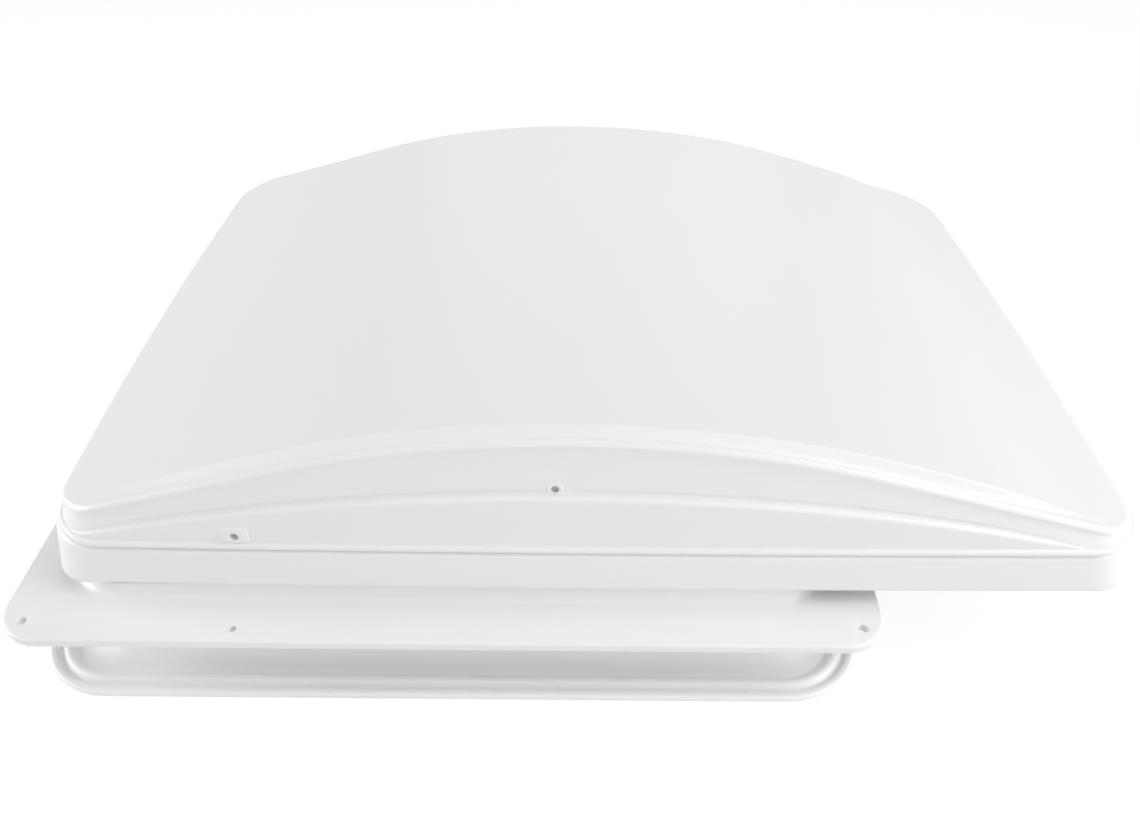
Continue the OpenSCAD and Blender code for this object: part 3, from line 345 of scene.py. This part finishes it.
rear_weight = np.where(body_inward[:, 0] < 0, end_weight, 0)
low_share = np.clip((base_high - band[:, 1:]) / (base_high - base_low), 0, 1)
flare = corner_flare * corner_weight + side_flare * (1 - rear_weight)
draft = top_draft * (1 - low_share) - low_share * flare - front_flare * front_weight
draft *= np.clip((fade_in - band[:, :1]) / fade_w, 0, 1)
band_rows = bowed(body_rows(band[:, :1] + draft, band[:, 1:]))
duct_turn = np.arctan2(body_outline[:, 1], body_outline[:, 0])
duct_ring = np.stack([np.cos(duct_turn), np.sin(duct_turn)], -1)
duct_mid, duct_round = (duct_r + duct_out) / 2, (duct_out - duct_r) / 2
duct_profile = np.concatenate(
    [
        [[duct_out + 1, floor_top], [duct_out, floor_top + 1], [duct_out, duct_high - duct_round]],
        circle_arc((duct_mid, duct_high - duct_round), duct_round, 0, 180, 9)[1:],
        [[duct_r, duct_low + edge_cut], [duct_r + edge_cut, duct_low]],
        [[duct_out - edge_cut, duct_low], [duct_out, duct_low + edge_cut]],
        [[duct_out, base_low - 1], [duct_out + 1, base_low]],
    ]
)
duct_rows = np.concatenate(
    [
        duct_profile[:, None, :1] * duct_ring,
        np.broadcast_to(duct_profile[:, None, 1:], (len(duct_profile), body_cols, 1)),
    ],
    -1,
)
share = np.linspace(0, 1, 7)[1:-1, None, None]
floor_rows = band_rows[-1] + (duct_rows[0] - band_rows[-1]) * share
under_rows = duct_rows[-1] + (band_rows[0] - duct_rows[-1]) * share
base_points = np.concatenate([band_rows, floor_rows, duct_rows, under_rows])
base_shell = (base_points.reshape(-1, 3), [grid_quads(len(base_points), body_cols, True)])
post_profile = [
    [0, duct_low],
    [post_r - edge_cut, duct_low],
    [post_r, duct_low + edge_cut],
    [post_r, base_low + 1],
    [0, base_low + 1],
]
posts = four_turned(post_profile, post_x, post_y, closed=False)
lug_profile = [
    [0, lug_low],
    [lug_r - edge_cut, lug_low],
    [lug_r, lug_low + edge_cut],
    [lug_r, lug_high - 0.5],
    [lug_r - 0.5, lug_high],
    [0, lug_high],
]
lugs = four_turned(lug_profile, lug_at, lug_at, closed=False)
base_housing = make_piece("base_moulding", [base_shell, *posts, *lugs], shell_white)
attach(base_housing, "base")
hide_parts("base_housing")

# Seals: the foam ring between neck and base, the round bulb seal in the rim's groove that the lid's lip
# presses on, and the lead's grommet. Soft black rubber, pushed into place.
seal_rubber = moulded(
    "seal_rubber", (0.03, 0.03, 0.032), (0.02, 0.02, 0.021), 0.62, cloud=40.0, grain=1500.0, depth=0.15
)
bulb_in, bulb_half, bulb_up, bulb_low = 5.8, 1.8, 1.4, groove_low + 0.05
bulb = np.concatenate(
    [
        [[bulb_in - bulb_half, bulb_low], [bulb_in + bulb_half, bulb_low]],
        circle_arc((bulb_in, shelf_top), (bulb_half, bulb_up), 0, 180, 12),
    ]
)
bulb_rows = bowed(body_rows(bulb[:, :1], bulb[:, 1:]))
bulb_shell = (bulb_rows.reshape(-1, 3), [grid_quads(len(bulb), body_cols, True)])
rim_seal = make_piece("rim_bulb_seal", [bulb_shell], seal_rubber)
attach(rim_seal, "base")
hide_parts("rim_seal")


def dress(finish, *names):
    """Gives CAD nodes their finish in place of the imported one."""
    for name in names:
        nodes[name].data.materials.clear()
        nodes[name].data.materials.append(finish)


dress(seal_rubber, "neck_seal", "wire_grommet")

# Lid: the rain cover over the whole base, a single white moulding about 3 mm thick. Its arched walls lean
# in over a stepped side panel, and the crown stands up behind a hollow strip along each long edge.
# Four pins in bosses inside its walls carry it on the arms.
lid_low, lip_top, wall_t, lean = 42.0, 45.6, 3.0, 4.0 / 75
arch_r, arch_top, crest_x, flank = 600.0, 111.6, 67.2, np.radians(15.1)
step_r, step_top = 1120.0, 79.0
crown_rise, crown_side, crown_end = 0.1, 16.7, 26.0
edge_r, ledge_in = 3.0, 2.0


def arch(x):
    """Height of the lid's top edge: a circle about the crest, and its tangents beyond the flank angle."""
    away = np.abs(x - crest_x)
    half = arch_r * np.sin(flank)
    round_z = np.sqrt(arch_r**2 - np.minimum(away, half) ** 2) - arch_r
    return arch_top + round_z - np.tan(flank) * np.maximum(away - half, 0)


def crown_step(x):
    """Height of the crown's edge above the arch: a plateau that dies away with the fourth power of the
    share of the half length, a bell on the rear flank that rounds the arch there, and smooth steps
    that take the edge down to almost nothing at the ends."""
    least, plateau_high, half_run = 0.25, 4.0, 300.0
    bell_high, bell_x, bell_w = 2.2, 250.0, 90.0
    rear_x, rear_run, front_x, front_run = 356.0, 70.0, -200.0, 100.0
    along = np.clip((x - body_mid) / half_run, -1, 1)
    to_rear = np.clip((rear_x - x) / rear_run, 0, 1)
    to_front = np.clip((x - front_x) / front_run, 0, 1)
    plateau = plateau_high + bell_high * np.exp(-(((x - bell_x) / bell_w) ** 2))
    plateau *= to_rear**2 * (3 - 2 * to_rear) * to_front**2 * (3 - 2 * to_front)
    return least + plateau * (1 - along**4)


def crown_swell(x, y):
    """Height of the crown above the arch: its edge's height, and a swell that is full in the middle."""
    along = np.clip(np.abs(x - body_mid) / (body_half_x - crown_end), 0, 1)
    across = np.clip(np.abs(y) / (body_half_y - crown_side), 0, 1)
    return crown_step(x) + crown_rise * (1 - across**2.5) * (1 - along**3)


def top_height(points, share):
    """Height of the lid's top: the arch, with the lower of a ramp up to the crown's edge and the
    swelling crown itself; the crest between them is rounded by a smooth minimum. The ramp is a power of
    the share of its width, less a cubic hollow that leaves a shallow valley behind the lid's edge."""
    ramp_power, softness = 1.6, 0.14
    x, y = points[..., 0], points[..., 1]
    hollow = share * np.clip(1 - share, 0, 1) ** 2
    ramp = crown_step(x) * (share**ramp_power - hollow)
    crown = crown_swell(x, y)
    soft = softness * crown_step(x)
    return arch(x) + (ramp + crown - np.sqrt((ramp - crown) ** 2 + soft**2)) / 2


# The lid's edge, the crest behind it and the ledge in its wall, as insets from the outline and heights.
crest_corner, crest_gain, crest_run = 2.0, 3.7, 283.0
edge_probe, edge_foot, edge_corner = 6.0, 4.0, 0.8
ledge_least, ledge_r_most = 0.3, 2.4
crest_in = crown_side + (crown_end - crown_side) * end_weight + crest_corner * corner_weight
rearward = np.clip((body_outline[:, 0] - crest_x) / crest_run, 0, 1)
crest_in -= crest_gain * (1 - end_weight) * rearward
edge_z = arch((body_outline + edge_probe * body_inward)[:, 0])
edge_in = edge_foot + lean * (edge_z - lid_low) + edge_corner * corner_weight
strip_in = edge_in + edge_r
ledge_up = np.sqrt(step_r**2 - ((body_outline + ledge_in * body_inward)[:, 0] - crest_x) ** 2)
ledge_up = step_top - step_r + ledge_up - lip_top
ledge_z = lip_top + ledge_least + (ledge_up + np.sqrt(ledge_up**2 + 1.0)) / 2
ledge_r = np.minimum(ledge_r_most, 0.5 * (ledge_z - lip_top - 0.25))

# Rows of the outside: crown, strip behind the edge, round edge, wall with its groove, ledge, panel, lip.
hub = np.array([body_mid, 0.0])
spread = np.linspace(0, 1, 41)[1:, None, None]
strip_share = np.array(
    [1.25, 1.2, 1.15, 1.1, 1.06, 1.03, 1.0, 0.97, 0.93, 0.88, 0.8, 0.7, 0.58, 0.44, 0.3, 0.15, 0.0]
)[:, None]
crown_in = strip_in + strip_share[0] * (crest_in - strip_in)
crown_plan = hub + spread * (body_outline + crown_in[:, None] * body_inward - hub)
crown_z = top_height(crown_plan, strip_share[0])
strip_d = strip_in + strip_share * (crest_in - strip_in)
strip_z = top_height(body_outline + strip_d[..., None] * body_inward, strip_share)
turn = np.radians(np.linspace(0, 90, 10)[1:, None])
round_d = edge_in + edge_r * (1 - np.sin(turn))
round_x = (body_outline + round_d[..., None] * body_inward)[..., 0]
round_z = arch(round_x) - edge_r * (1 - np.cos(turn))
wall_top = round_z[-1]
groove_up = np.array([[3.2], [2.6], [2.2], [1.8], [1.4], [1.0], [0.65], [0.35]])
groove_deep = np.array([[0], [0.05], [0.25], [0.6], [0.8], [0.85], [0.75], [0.4]])
full_room, full_ledge, pivot_clear = 8.0, 14.0, 7.0
foot_least, wall_hollow, ledge_cove = 2.3, 5.0, 0.35
room = np.clip((wall_top - ledge_z) / full_room, 0.05, 1)
off_pivot = 1 - np.exp(-(((body_outline[:, 0] - main_pivot[0]) / pivot_clear) ** 2))
fall = np.linspace(0, 1, 10)[1:-1, None]
upper_z = wall_top + (ledge_z + groove_up[0] * room - wall_top) * fall
wall_z = np.concatenate([upper_z, ledge_z + groove_up * room])
high_ledge = np.clip((ledge_z - lip_top) / full_ledge, 0, 1)
foot_in = edge_in - lean * (wall_top - ledge_z) - foot_least
foot_in = foot_least + foot_in * high_ledge * (2 - high_ledge)
sunk = np.clip((wall_top - wall_z) / (wall_top - ledge_z), 0, 1)
wall_d = edge_in + (foot_in - edge_in) * sunk + wall_hollow * room * sunk**0.7 * (1 - sunk) ** 2
wall_d[len(upper_z) :] += groove_deep * room * off_pivot * high_ledge
turn = np.radians(np.linspace(0, 90, 4)[1:, None])
cove_d = wall_d[-1] - ledge_cove * room * high_ledge * (1 - np.cos(turn))
cove_z = ledge_z + ledge_cove * room * (1 - np.sin(turn))
turn = np.radians(np.linspace(0, 90, 8)[:, None])
ledge_d = ledge_in + np.minimum(ledge_r, cove_d[-1] - ledge_in) * (1 - np.sin(turn))
ledge_round_z = ledge_z - ledge_r * (1 - np.cos(turn))
fall = np.linspace(0, 1, 18)[1:, None]
panel_z = ledge_round_z[-1] + (lip_top + 0.2 - ledge_round_z[-1]) * fall
lip_r, lip_low_r, lip_in, lip_back = 1.9, 0.9, 9.0, 46.0
inner_in, inner_low, inner_r = 7.05, 46.4, 2.0
lip = np.concatenate(
    [
        [[lip_r, lip_top]],
        circle_arc((lip_r, lip_top - lip_r), lip_r, 90, 180, 9)[1:],
        circle_arc((lip_low_r, lid_low + lip_low_r), lip_low_r, 180, 270, 5),
        [[3, lid_low], [lip_in - edge_cut, lid_low], [lip_in, lid_low + edge_cut]],
        [[lip_in, lip_back - edge_cut], [lip_in - edge_cut, lip_back]],
        [[inner_in + 0.35, lip_back], [inner_in, inner_low]],
    ]
)

# Rows of the inside: wall, rounded corner, and a ceiling that follows the top at the wall's thickness.
inner_top = arch((body_outline + (edge_in + wall_t)[:, None] * body_inward)[:, 0]) - wall_t
rise = np.linspace(0, 1, 8)[1:, None]
inner_z = inner_low + (inner_top - inner_r - inner_low) * rise
inner_d = inner_in + lean * (inner_z - inner_low)
turn = np.radians(np.linspace(0, 90, 5)[1:, None])
inner_round_d = inner_d[-1] + inner_r * (1 - np.cos(turn))
inner_round_z = inner_z[-1] + inner_r * np.sin(turn)
ceiling_d = inner_round_d[-1] + (crown_in - inner_round_d[-1]) * np.linspace(0, 1, 9)[1:, None]
ceiling_share = (ceiling_d - strip_in) / (crest_in - strip_in)
ceiling_plan = body_outline + ceiling_d[..., None] * body_inward
ceiling_z = top_height(ceiling_plan, np.maximum(ceiling_share, 0)) - wall_t
wall_rows, panel_rows = body_rows(wall_d, wall_z), body_rows(ledge_in, panel_z)
above_wall = [
    np.concatenate([crown_plan, crown_z[..., None]], -1),
    body_rows(strip_d[1:], strip_z[1:]),
    body_rows(round_d, round_z),
]
above_panel = [
    *above_wall,
    wall_rows,
    body_rows(cove_d, cove_z),
    body_rows(ledge_d, ledge_round_z),
]
lid_grid = np.concatenate(
    [
        *above_panel,
        panel_rows,
        body_rows(lip[:, :1], lip[:, 1:]),
        body_rows(inner_d, inner_z),
        body_rows(inner_round_d, inner_round_z),
        body_rows(ceiling_d, ceiling_z),
        np.concatenate([crown_plan, crown_z[..., None] - wall_t], -1)[-2::-1],
    ]
)
first_wall, first_panel = (sum(map(len, above)) for above in (above_wall, above_panel))
rows = len(lid_grid)
lid_points = lid_grid.reshape(-1, 3)

# Screw holes of the pivots, each in a raised pad that is a rounded oblong of its reach to the side,
# up and down; blocks of the grid are left open for them on both long sides.
hole_floor_y = 199.2
pad_profile = (1.0, 0.0), (0.93, 0.6), (0.84, 1.0), (0.12, 1.0), (0.0, 0.5), (0.0, None)
body_arc_cols, long_cols = body_arc + 1, len(near_share)
near_first = 3 * body_arc_cols + long_cols + len(end_share)
pivot_holes = []
for pivot, cluster, block_rows, hole_r, pad, power, lift in (
    (front_pivot, front_cols, first_panel + np.arange(4, 17), 2.2, (8.0, 6.4, 4.2), 4.0, 0.7),
    (main_pivot, main_cols, first_wall + np.arange(4, 16), 2.1, (4.4, 4.6, 2.3), 2.2, 0.35),
):
    start = int(np.searchsorted(near_x, cluster[0] - 0.01))
    across = np.arange(len(cluster))
    near_block = near_first + start + across
    far_block = body_arc_cols + long_cols - 1 - (start + across[::-1])
    for block in (near_block, far_block):
        pivot_holes.append((pivot, block_rows, block, hole_r, pad, power, lift))
lid_blocks = [(r[0], r[-1], c[0], c[-1]) for _, r, c, *_ in pivot_holes]
lid_faces = [grid_quads(rows, body_cols, False, lid_blocks)]
for pivot, block_rows, block, hole_r, (side, up, down), power, lift in pivot_holes:
    loop = block_loop(block_rows, block, body_cols)
    edge = lid_points[loop]
    hand = np.sign(edge[0, 1])
    ray = edge[:, [0, 2]] - pivot
    ray /= np.linalg.norm(ray, axis=1)[:, None]
    tall = np.where(ray[:, 1] > 0, up, down)
    reach = (np.abs(ray[:, 0]) / side) ** power + (np.abs(ray[:, 1]) / tall) ** power
    reach **= -1 / power
    face = np.stack([edge[:, 2], 0 * ray[:, 0] + 1], -1)
    slope, level = np.linalg.lstsq(face, np.abs(edge[:, 1]), rcond=None)[0]
    chain = [loop]
    for part_out, out in pad_profile:
        at = pivot + ray * (hole_r + part_out * (reach - hole_r))[:, None]
        y = np.full(len(at), hole_floor_y)
        if out is not None:
            y = slope * at[:, 1] + level + lift * out
        chain.append(len(lid_points) + np.arange(len(loop)))
        lid_points = np.concatenate([lid_points, np.stack([at[:, 0], hand * y, at[:, 1]], -1)])
    lid_points = np.concatenate([lid_points, [[pivot[0], hand * hole_floor_y, pivot[1]]]])
    lid_faces += [strip(a, b) for a, b in zip(chain, chain[1:])]
    lid_faces.append(fan(chain[-1], len(lid_points) - 1))
peak = np.array([[body_mid, 0.0, 0.0]])
peak[0, 2] = top_height(peak, strip_share[0])[0]
lid_points = np.concatenate([lid_points, peak, peak - [[0, 0, wall_t]]])
lid_faces.append(fan(np.arange(body_cols)[::-1], len(lid_points) - 2))
lid_faces.append(fan(np.arange((rows - 1) * body_cols, rows * body_cols), len(lid_points) - 1))

# Bosses inside the walls, which take the pivots' pins.
pin_bore_r, pin_boss_r, pin_boss_in, pin_boss_out = 2.45, 6.0, 190.3, 199.0
pin_boss = [
    [pin_bore_r, pin_boss_in],
    [pin_boss_r - edge_cut, pin_boss_in],
    [pin_boss_r, pin_boss_in + edge_cut],
    [pin_boss_r, pin_boss_out],
    [pin_bore_r, pin_boss_out],
]
lid_shells = [(lid_points, lid_faces)]
for pivot in (front_pivot, main_pivot):
    for hand in (-1, 1):
        p, faces = turned(pin_boss, (0, 0, 0))
        lid_shells.append((p[:, [0, 2, 1]] * [1, hand, 1] + [pivot[0], 0, pivot[1]], faces))
lid_dome = make_piece("lid_moulding", [(bowed(p), f) for p, f in lid_shells], shell_white)
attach(lid_dome, "lid")
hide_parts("lid_dome")

# Pins, shafts and screws: plain turned and cold-headed steel. The lid's pins are screwed into its bosses,
# the shafts run in their bearings, and the screws hold the mouldings and brackets together.
pin_steel = moulded(
    "pin_steel", (0.42, 0.42, 0.43), (0.34, 0.34, 0.35), 0.3,
    cloud=60.0, grain=2500.0, depth=0.05, metal=1.0,
)
screw_steel = moulded(
    "screw_steel", (0.55, 0.55, 0.56), (0.45, 0.45, 0.46), 0.35,
    cloud=80.0, grain=2500.0, depth=0.05, metal=1.0,
)
dress(pin_steel, "motor_shaft", "lift_shaft", "worm_spindle", "front_pins", "lid_pins")
dress(screw_steel, "housing_screws", "garnish_screws", "bracket_screws", "motor_screws")
dress(screw_steel, "bearing_screws", "fan_nut")

# Lift gear: pressed metal arms, and the motor's bracket of the same sheet, on moulded bearings. The worm's
# wheel and bracket and the bearings are self-coloured nylon; screws hold bearings and bracket to the base.
bracket_metal = moulded(
    "bracket_metal", (0.52, 0.53, 0.54), (0.44, 0.45, 0.46), 0.42,
    cloud=30.0, grain=1200.0, depth=0.06, metal=0.9,
)
gear_nylon = moulded(
    "gear_nylon", (0.78, 0.77, 0.73), (0.72, 0.71, 0.67), 0.45, cloud=20.0, grain=900.0, depth=0.04
)
dress(bracket_metal, "motor_bracket", "lift_arm_left", "lift_arm_right")
dress(bracket_metal, "front_arm_left", "front_arm_right")
dress(gear_nylon, "worm_wheel", "worm_bracket", "shaft_bearing_left", "shaft_bearing_right")
dress(gear_nylon, "front_bearing_left", "front_bearing_right")

# Fan: a painted motor can, screwed to its bracket, and a moulded grey rotor that a nut holds on the
# motor's shaft.
motor_black = moulded(
    "motor_black", (0.03, 0.03, 0.032), (0.022, 0.022, 0.024), 0.45, cloud=30.0, grain=700.0, depth=0.1
)
fan_grey = moulded(
    "fan_grey", (0.17, 0.18, 0.19), (0.14, 0.15, 0.16), 0.4, cloud=20.0, grain=900.0, depth=0.05
)
dress(motor_black, "motor")
dress(fan_grey, "fan_rotor")

# Room side: the inner bezel, the insect screen with its quarter-turn latches, the hand knob and the panel
# of push buttons with its circuit board. White and grey mouldings, a fibre net and a green board.
# This white is paler than the shell's white. It is painted light, raised so that the garnish's recess in
# the flange's shade looks lighter; the bezel, screen frame, latches and panel share it.
trim_white = moulded(
    "trim_white", (0.92, 0.92, 0.915), (0.9, 0.9, 0.895), 0.4, cloud=9.0, grain=700.0, depth=0.04
)
net_fibre = moulded(
    "net_fibre", (0.25, 0.26, 0.27), (0.2, 0.21, 0.22), 0.6, cloud=60.0, grain=1500.0, depth=0.1
)
knob_grey = moulded(
    "knob_grey", (0.33, 0.34, 0.35), (0.28, 0.29, 0.3), 0.45, cloud=30.0, grain=900.0, depth=0.05
)
board_green = moulded(
    "board_green", (0.03, 0.16, 0.07), (0.02, 0.11, 0.05), 0.4, cloud=300.0, grain=900.0, depth=0.05
)
dress(trim_white, "inner_bezel", "screen_frame", "control_panel")
dress(trim_white, *(f"screen_latch_{side}" for side in ("front", "rear", "left", "right")))
dress(net_fibre, "screen_net")
dress(knob_grey, "lift_knob", "button_power", "button_faster", "button_slower", "button_reverse")
dress(board_green, "control_board")

# Ceiling garnish: the trim ring that covers the cut edge of the ceiling, its sleeve standing in the roof
# opening. One white moulding with a rolled rim, a groove and a bead; four tabs take the screws.
garnish_half, garnish_low, garnish_arc = 235.0, -46.0, 28
sleeve_in, sleeve_out, sleeve_top = 39.0, 36.5, -1.4
tab_x, tab_y, tab_half_x, tab_half_y = 150.0, 189.5, 12.0, 7.5
tab_low, tab_high, tab_edge, tab_corner = -33.3, -30.3, 0.3, 1.5
garnish_profile = np.concatenate(
    [
        circle_arc((1.3, garnish_low + 1.3), 1.3, 270, 180, 6),
        circle_arc((1.8, garnish_low + 2.6), 1.8, 180, 90, 7),
        circle_arc((3.2, garnish_low + 3.2), 1.2, 90, 20, 5),
        circle_arc((6.4, garnish_low + 3.9), 1.5, 200, 300, 7),
        circle_arc((10.6, garnish_low + 1.6), 3.4, 130, 60, 9),
        circle_arc((15.6, garnish_low + 4.0), 1.7, 230, 270, 5),
        circle_arc((17.5, -16.0), (19.0, 27.6), 275, 360, 18),
        [[sleeve_out, sleeve_top - 0.6], [sleeve_out + 0.3, sleeve_top]],
        [[sleeve_in - 0.3, sleeve_top], [sleeve_in, sleeve_top - 0.6], [sleeve_in, -24]],
        [[sleeve_in, garnish_low + 1.0], [sleeve_in - edge_cut, garnish_low]],
        [[28, garnish_low], [14, garnish_low]],
    ]
)
garnish_corner = np.interp(
    garnish_profile[:, 0], [0, 12, sleeve_out, sleeve_in], [45, 33, 18.5, 16]
)
garnish_ring_half = garnish_half - garnish_profile[:, 0]
garnish_share = np.linspace(0, 1, 26)[1:-1]
garnish_rings = rounded_rings(
    garnish_ring_half, garnish_ring_half, garnish_corner, [garnish_share] * 4, garnish_arc
)
rows, cols = garnish_rings.shape[:2]
garnish_points = np.concatenate(
    [garnish_rings, np.broadcast_to(garnish_profile[:, None, 1:], (rows, cols, 1))], -1
)
garnish_shell = (garnish_points.reshape(-1, 3), [grid_quads(rows, cols, True)])
tab_cut = np.array([tab_edge, 0, 0, tab_edge])
tab_z = np.array([tab_low, tab_low + tab_edge, tab_high - tab_edge, tab_high])
tab_rings = rounded_rings(
    tab_half_x - tab_cut, tab_half_y - tab_cut, tab_corner, [even[::10]] * 4, 4
)
tab_cols = tab_rings.shape[1]
tab_heights = np.broadcast_to(tab_z[:, None, None], (len(tab_z), tab_cols, 1))
tab_grid = np.concatenate([tab_rings, tab_heights], -1).reshape(-1, 3)
tab_points = np.concatenate([tab_grid, [[0, 0, tab_low], [0, 0, tab_high]]])
tab_faces = [
    grid_quads(len(tab_z), tab_cols),
    fan(np.arange(tab_cols)[::-1], len(tab_grid)),
    fan(np.arange(len(tab_grid) - tab_cols, len(tab_grid)), len(tab_grid) + 1),
]
tabs = [(tab_points + [x, y, 0], tab_faces) for x in (-tab_x, tab_x) for y in (-tab_y, tab_y)]
# The garnish's paler white is painted light for its recess in the flange's shade.
garnish = make_piece("garnish_moulding", [garnish_shell, *tabs], trim_white)
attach(garnish, "base")
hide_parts("ceiling_garnish")

# Stage: a plain white floor under the garnish, which shows as white to the camera and keeps the soft
# shadow, in the white surroundings of a light tent. Two large lamps on the left and right give most of the
# light; weaker ones fill in from behind, from above and from the front.
floor_z, floor_reach = garnish_low - 0.2, 8000.0
shown_grey, bounce_grey, floor_glow = 0.2, 0.85, 0.86
tent_light, tent_shown = 0.2, 1.0


def straight_rays(tree):
    """Socket that is 1 for camera, glossy and transmission rays and 0 for the rays that give light."""
    ray_kind = tree.nodes.new("ShaderNodeLightPath")
    either, any_kind = tree.nodes.new("ShaderNodeMath"), tree.nodes.new("ShaderNodeMath")
    either.operation = any_kind.operation = "MAXIMUM"
    tree.links.new(ray_kind.outputs["Is Camera Ray"], either.inputs[0])
    tree.links.new(ray_kind.outputs["Is Glossy Ray"], either.inputs[1])
    tree.links.new(either.outputs[0], any_kind.inputs[0])
    tree.links.new(ray_kind.outputs["Is Transmission Ray"], any_kind.inputs[1])
    return any_kind.outputs[0]


floor_mesh = bpy.data.meshes.new("studio_floor")
corners = np.array([[-1, -1, 0], [1, -1, 0], [1, 1, 0], [-1, 1, 0]]) * floor_reach
floor_mesh.from_pydata((corners + [0, 0, floor_z]) * MM, [], [[0, 1, 2, 3]])
floor = bpy.data.objects.new("studio_floor", floor_mesh)
bpy.context.scene.collection.objects.link(floor)
paper = bpy.data.materials.new("studio_paper")
paper.use_nodes = True
tree, link = paper.node_tree, paper.node_tree.links.new
tree.nodes.remove(tree.nodes["Principled BSDF"])
seen, bounce = tree.nodes.new("ShaderNodeBsdfDiffuse"), tree.nodes.new("ShaderNodeBsdfDiffuse")
glow = tree.nodes.new("ShaderNodeEmission")
shown, chosen = tree.nodes.new("ShaderNodeAddShader"), tree.nodes.new("ShaderNodeMixShader")
seen.inputs["Color"].default_value = (shown_grey, shown_grey, shown_grey, 1)
bounce.inputs["Color"].default_value = (bounce_grey, bounce_grey, bounce_grey, 1)
glow.inputs["Strength"].default_value = floor_glow
link(straight_rays(tree), chosen.inputs[0])
link(bounce.outputs[0], chosen.inputs[1])
link(seen.outputs[0], shown.inputs[0])
link(glow.outputs[0], shown.inputs[1])
link(shown.outputs[0], chosen.inputs[2])
link(chosen.outputs[0], tree.nodes["Material Output"].inputs["Surface"])
floor_mesh.materials.append(paper)

tent = bpy.data.worlds.new("light_tent")
bpy.context.scene.world = tent
tent.use_nodes = True
tree, link = tent.node_tree, tent.node_tree.links.new
level = tree.nodes.new("ShaderNodeMapRange")
level.inputs["To Min"].default_value = tent_light
level.inputs["To Max"].default_value = tent_shown
tree.nodes["Background"].inputs["Color"].default_value = (1, 1, 1, 1)
link(straight_rays(tree), level.inputs["Value"])
link(level.outputs["Result"], tree.nodes["Background"].inputs["Strength"])


def soft_lamp(name, place, aim, wide, high, watts):
    """Oblong area lamp at a place, turned towards a point; lengths in metres."""
    data = bpy.data.lights.new(name, "AREA")
    data.shape, data.size, data.size_y, data.energy = "RECTANGLE", wide, high, watts
    lamp = bpy.data.objects.new(name, data)
    back = np.array(place, float) - aim
    back /= np.linalg.norm(back)
    steep = abs(back[2]) > 0.9
    side = np.cross([0.0, 1.0, 0.0] if steep else [0.0, 0.0, 1.0], back)
    side /= np.linalg.norm(side)
    turn_to = np.eye(4)
    turn_to[:3, :3] = np.stack([side, np.cross(back, side), back], -1)
    turn_to[:3, 3] = place
    lamp.matrix_world = Matrix(turn_to.tolist())
    bpy.context.scene.collection.objects.link(lamp)


soft_lamp("lamp_left", (-1.7, -0.1, 0.5), (0, 0, 0), wide=1.2, high=0.8, watts=18)
soft_lamp("lamp_right", (1.5, -0.5, 1.2), (0.1, 0, 0), wide=1.2, high=1.2, watts=18)
soft_lamp("lamp_right_low", (1.7, -0.5, 0.4), (0.1, 0, 0), wide=1.2, high=0.6, watts=4)
soft_lamp("lamp_back", (0.2, 1.7, 1.1), (0.1, 0, 0), wide=1.6, high=1.2, watts=4)
soft_lamp("lamp_top", (0.1, 0.0, 2.0), (0.1, 0, 0), wide=1.6, high=1.6, watts=8.5)
soft_lamp("lamp_front", (0.5, -1.7, 0.9), (0.1, 0, 0), wide=1.2, high=1.0, watts=3)
soft_lamp("lamp_low", (0.1, -1.7, 0.12), (0.1, 0, 0.02), wide=2.0, high=0.4, watts=5)

# Camera: close above the near long side, looking down over the lid, framed for 1140 by 840 pixels.
focus_px, frame_px, sensor = 956.53, 1140.0, 36.0
pitch, yaw, roll = np.radians([38.53, 0.41, 0.84])
eye = np.array([63.49, -554.47, 408.48])
forward = np.array([np.sin(yaw) * np.cos(pitch), np.cos(yaw) * np.cos(pitch), -np.sin(pitch)])
right = np.array([np.cos(yaw), -np.sin(yaw), 0.0])
up = np.cross(right, forward)
pose = np.eye(4)
pose[:3, 0] = np.cos(roll) * right + np.sin(roll) * up
pose[:3, 1] = np.cos(roll) * up - np.sin(roll) * right
pose[:3, 2] = -forward
pose[:3, 3] = eye * MM
lens = bpy.data.cameras.new("camera")
lens.sensor_fit, lens.sensor_width, lens.lens = "HORIZONTAL", sensor, focus_px / frame_px * sensor
lens.clip_start, lens.clip_end = 0.01, 50.0
camera = bpy.data.objects.new("camera", lens)
camera.matrix_world = Matrix(pose.tolist())
bpy.context.scene.collection.objects.link(camera)
bpy.context.scene.camera = camera
bpy.context.scene.view_settings.view_transform = "Standard"
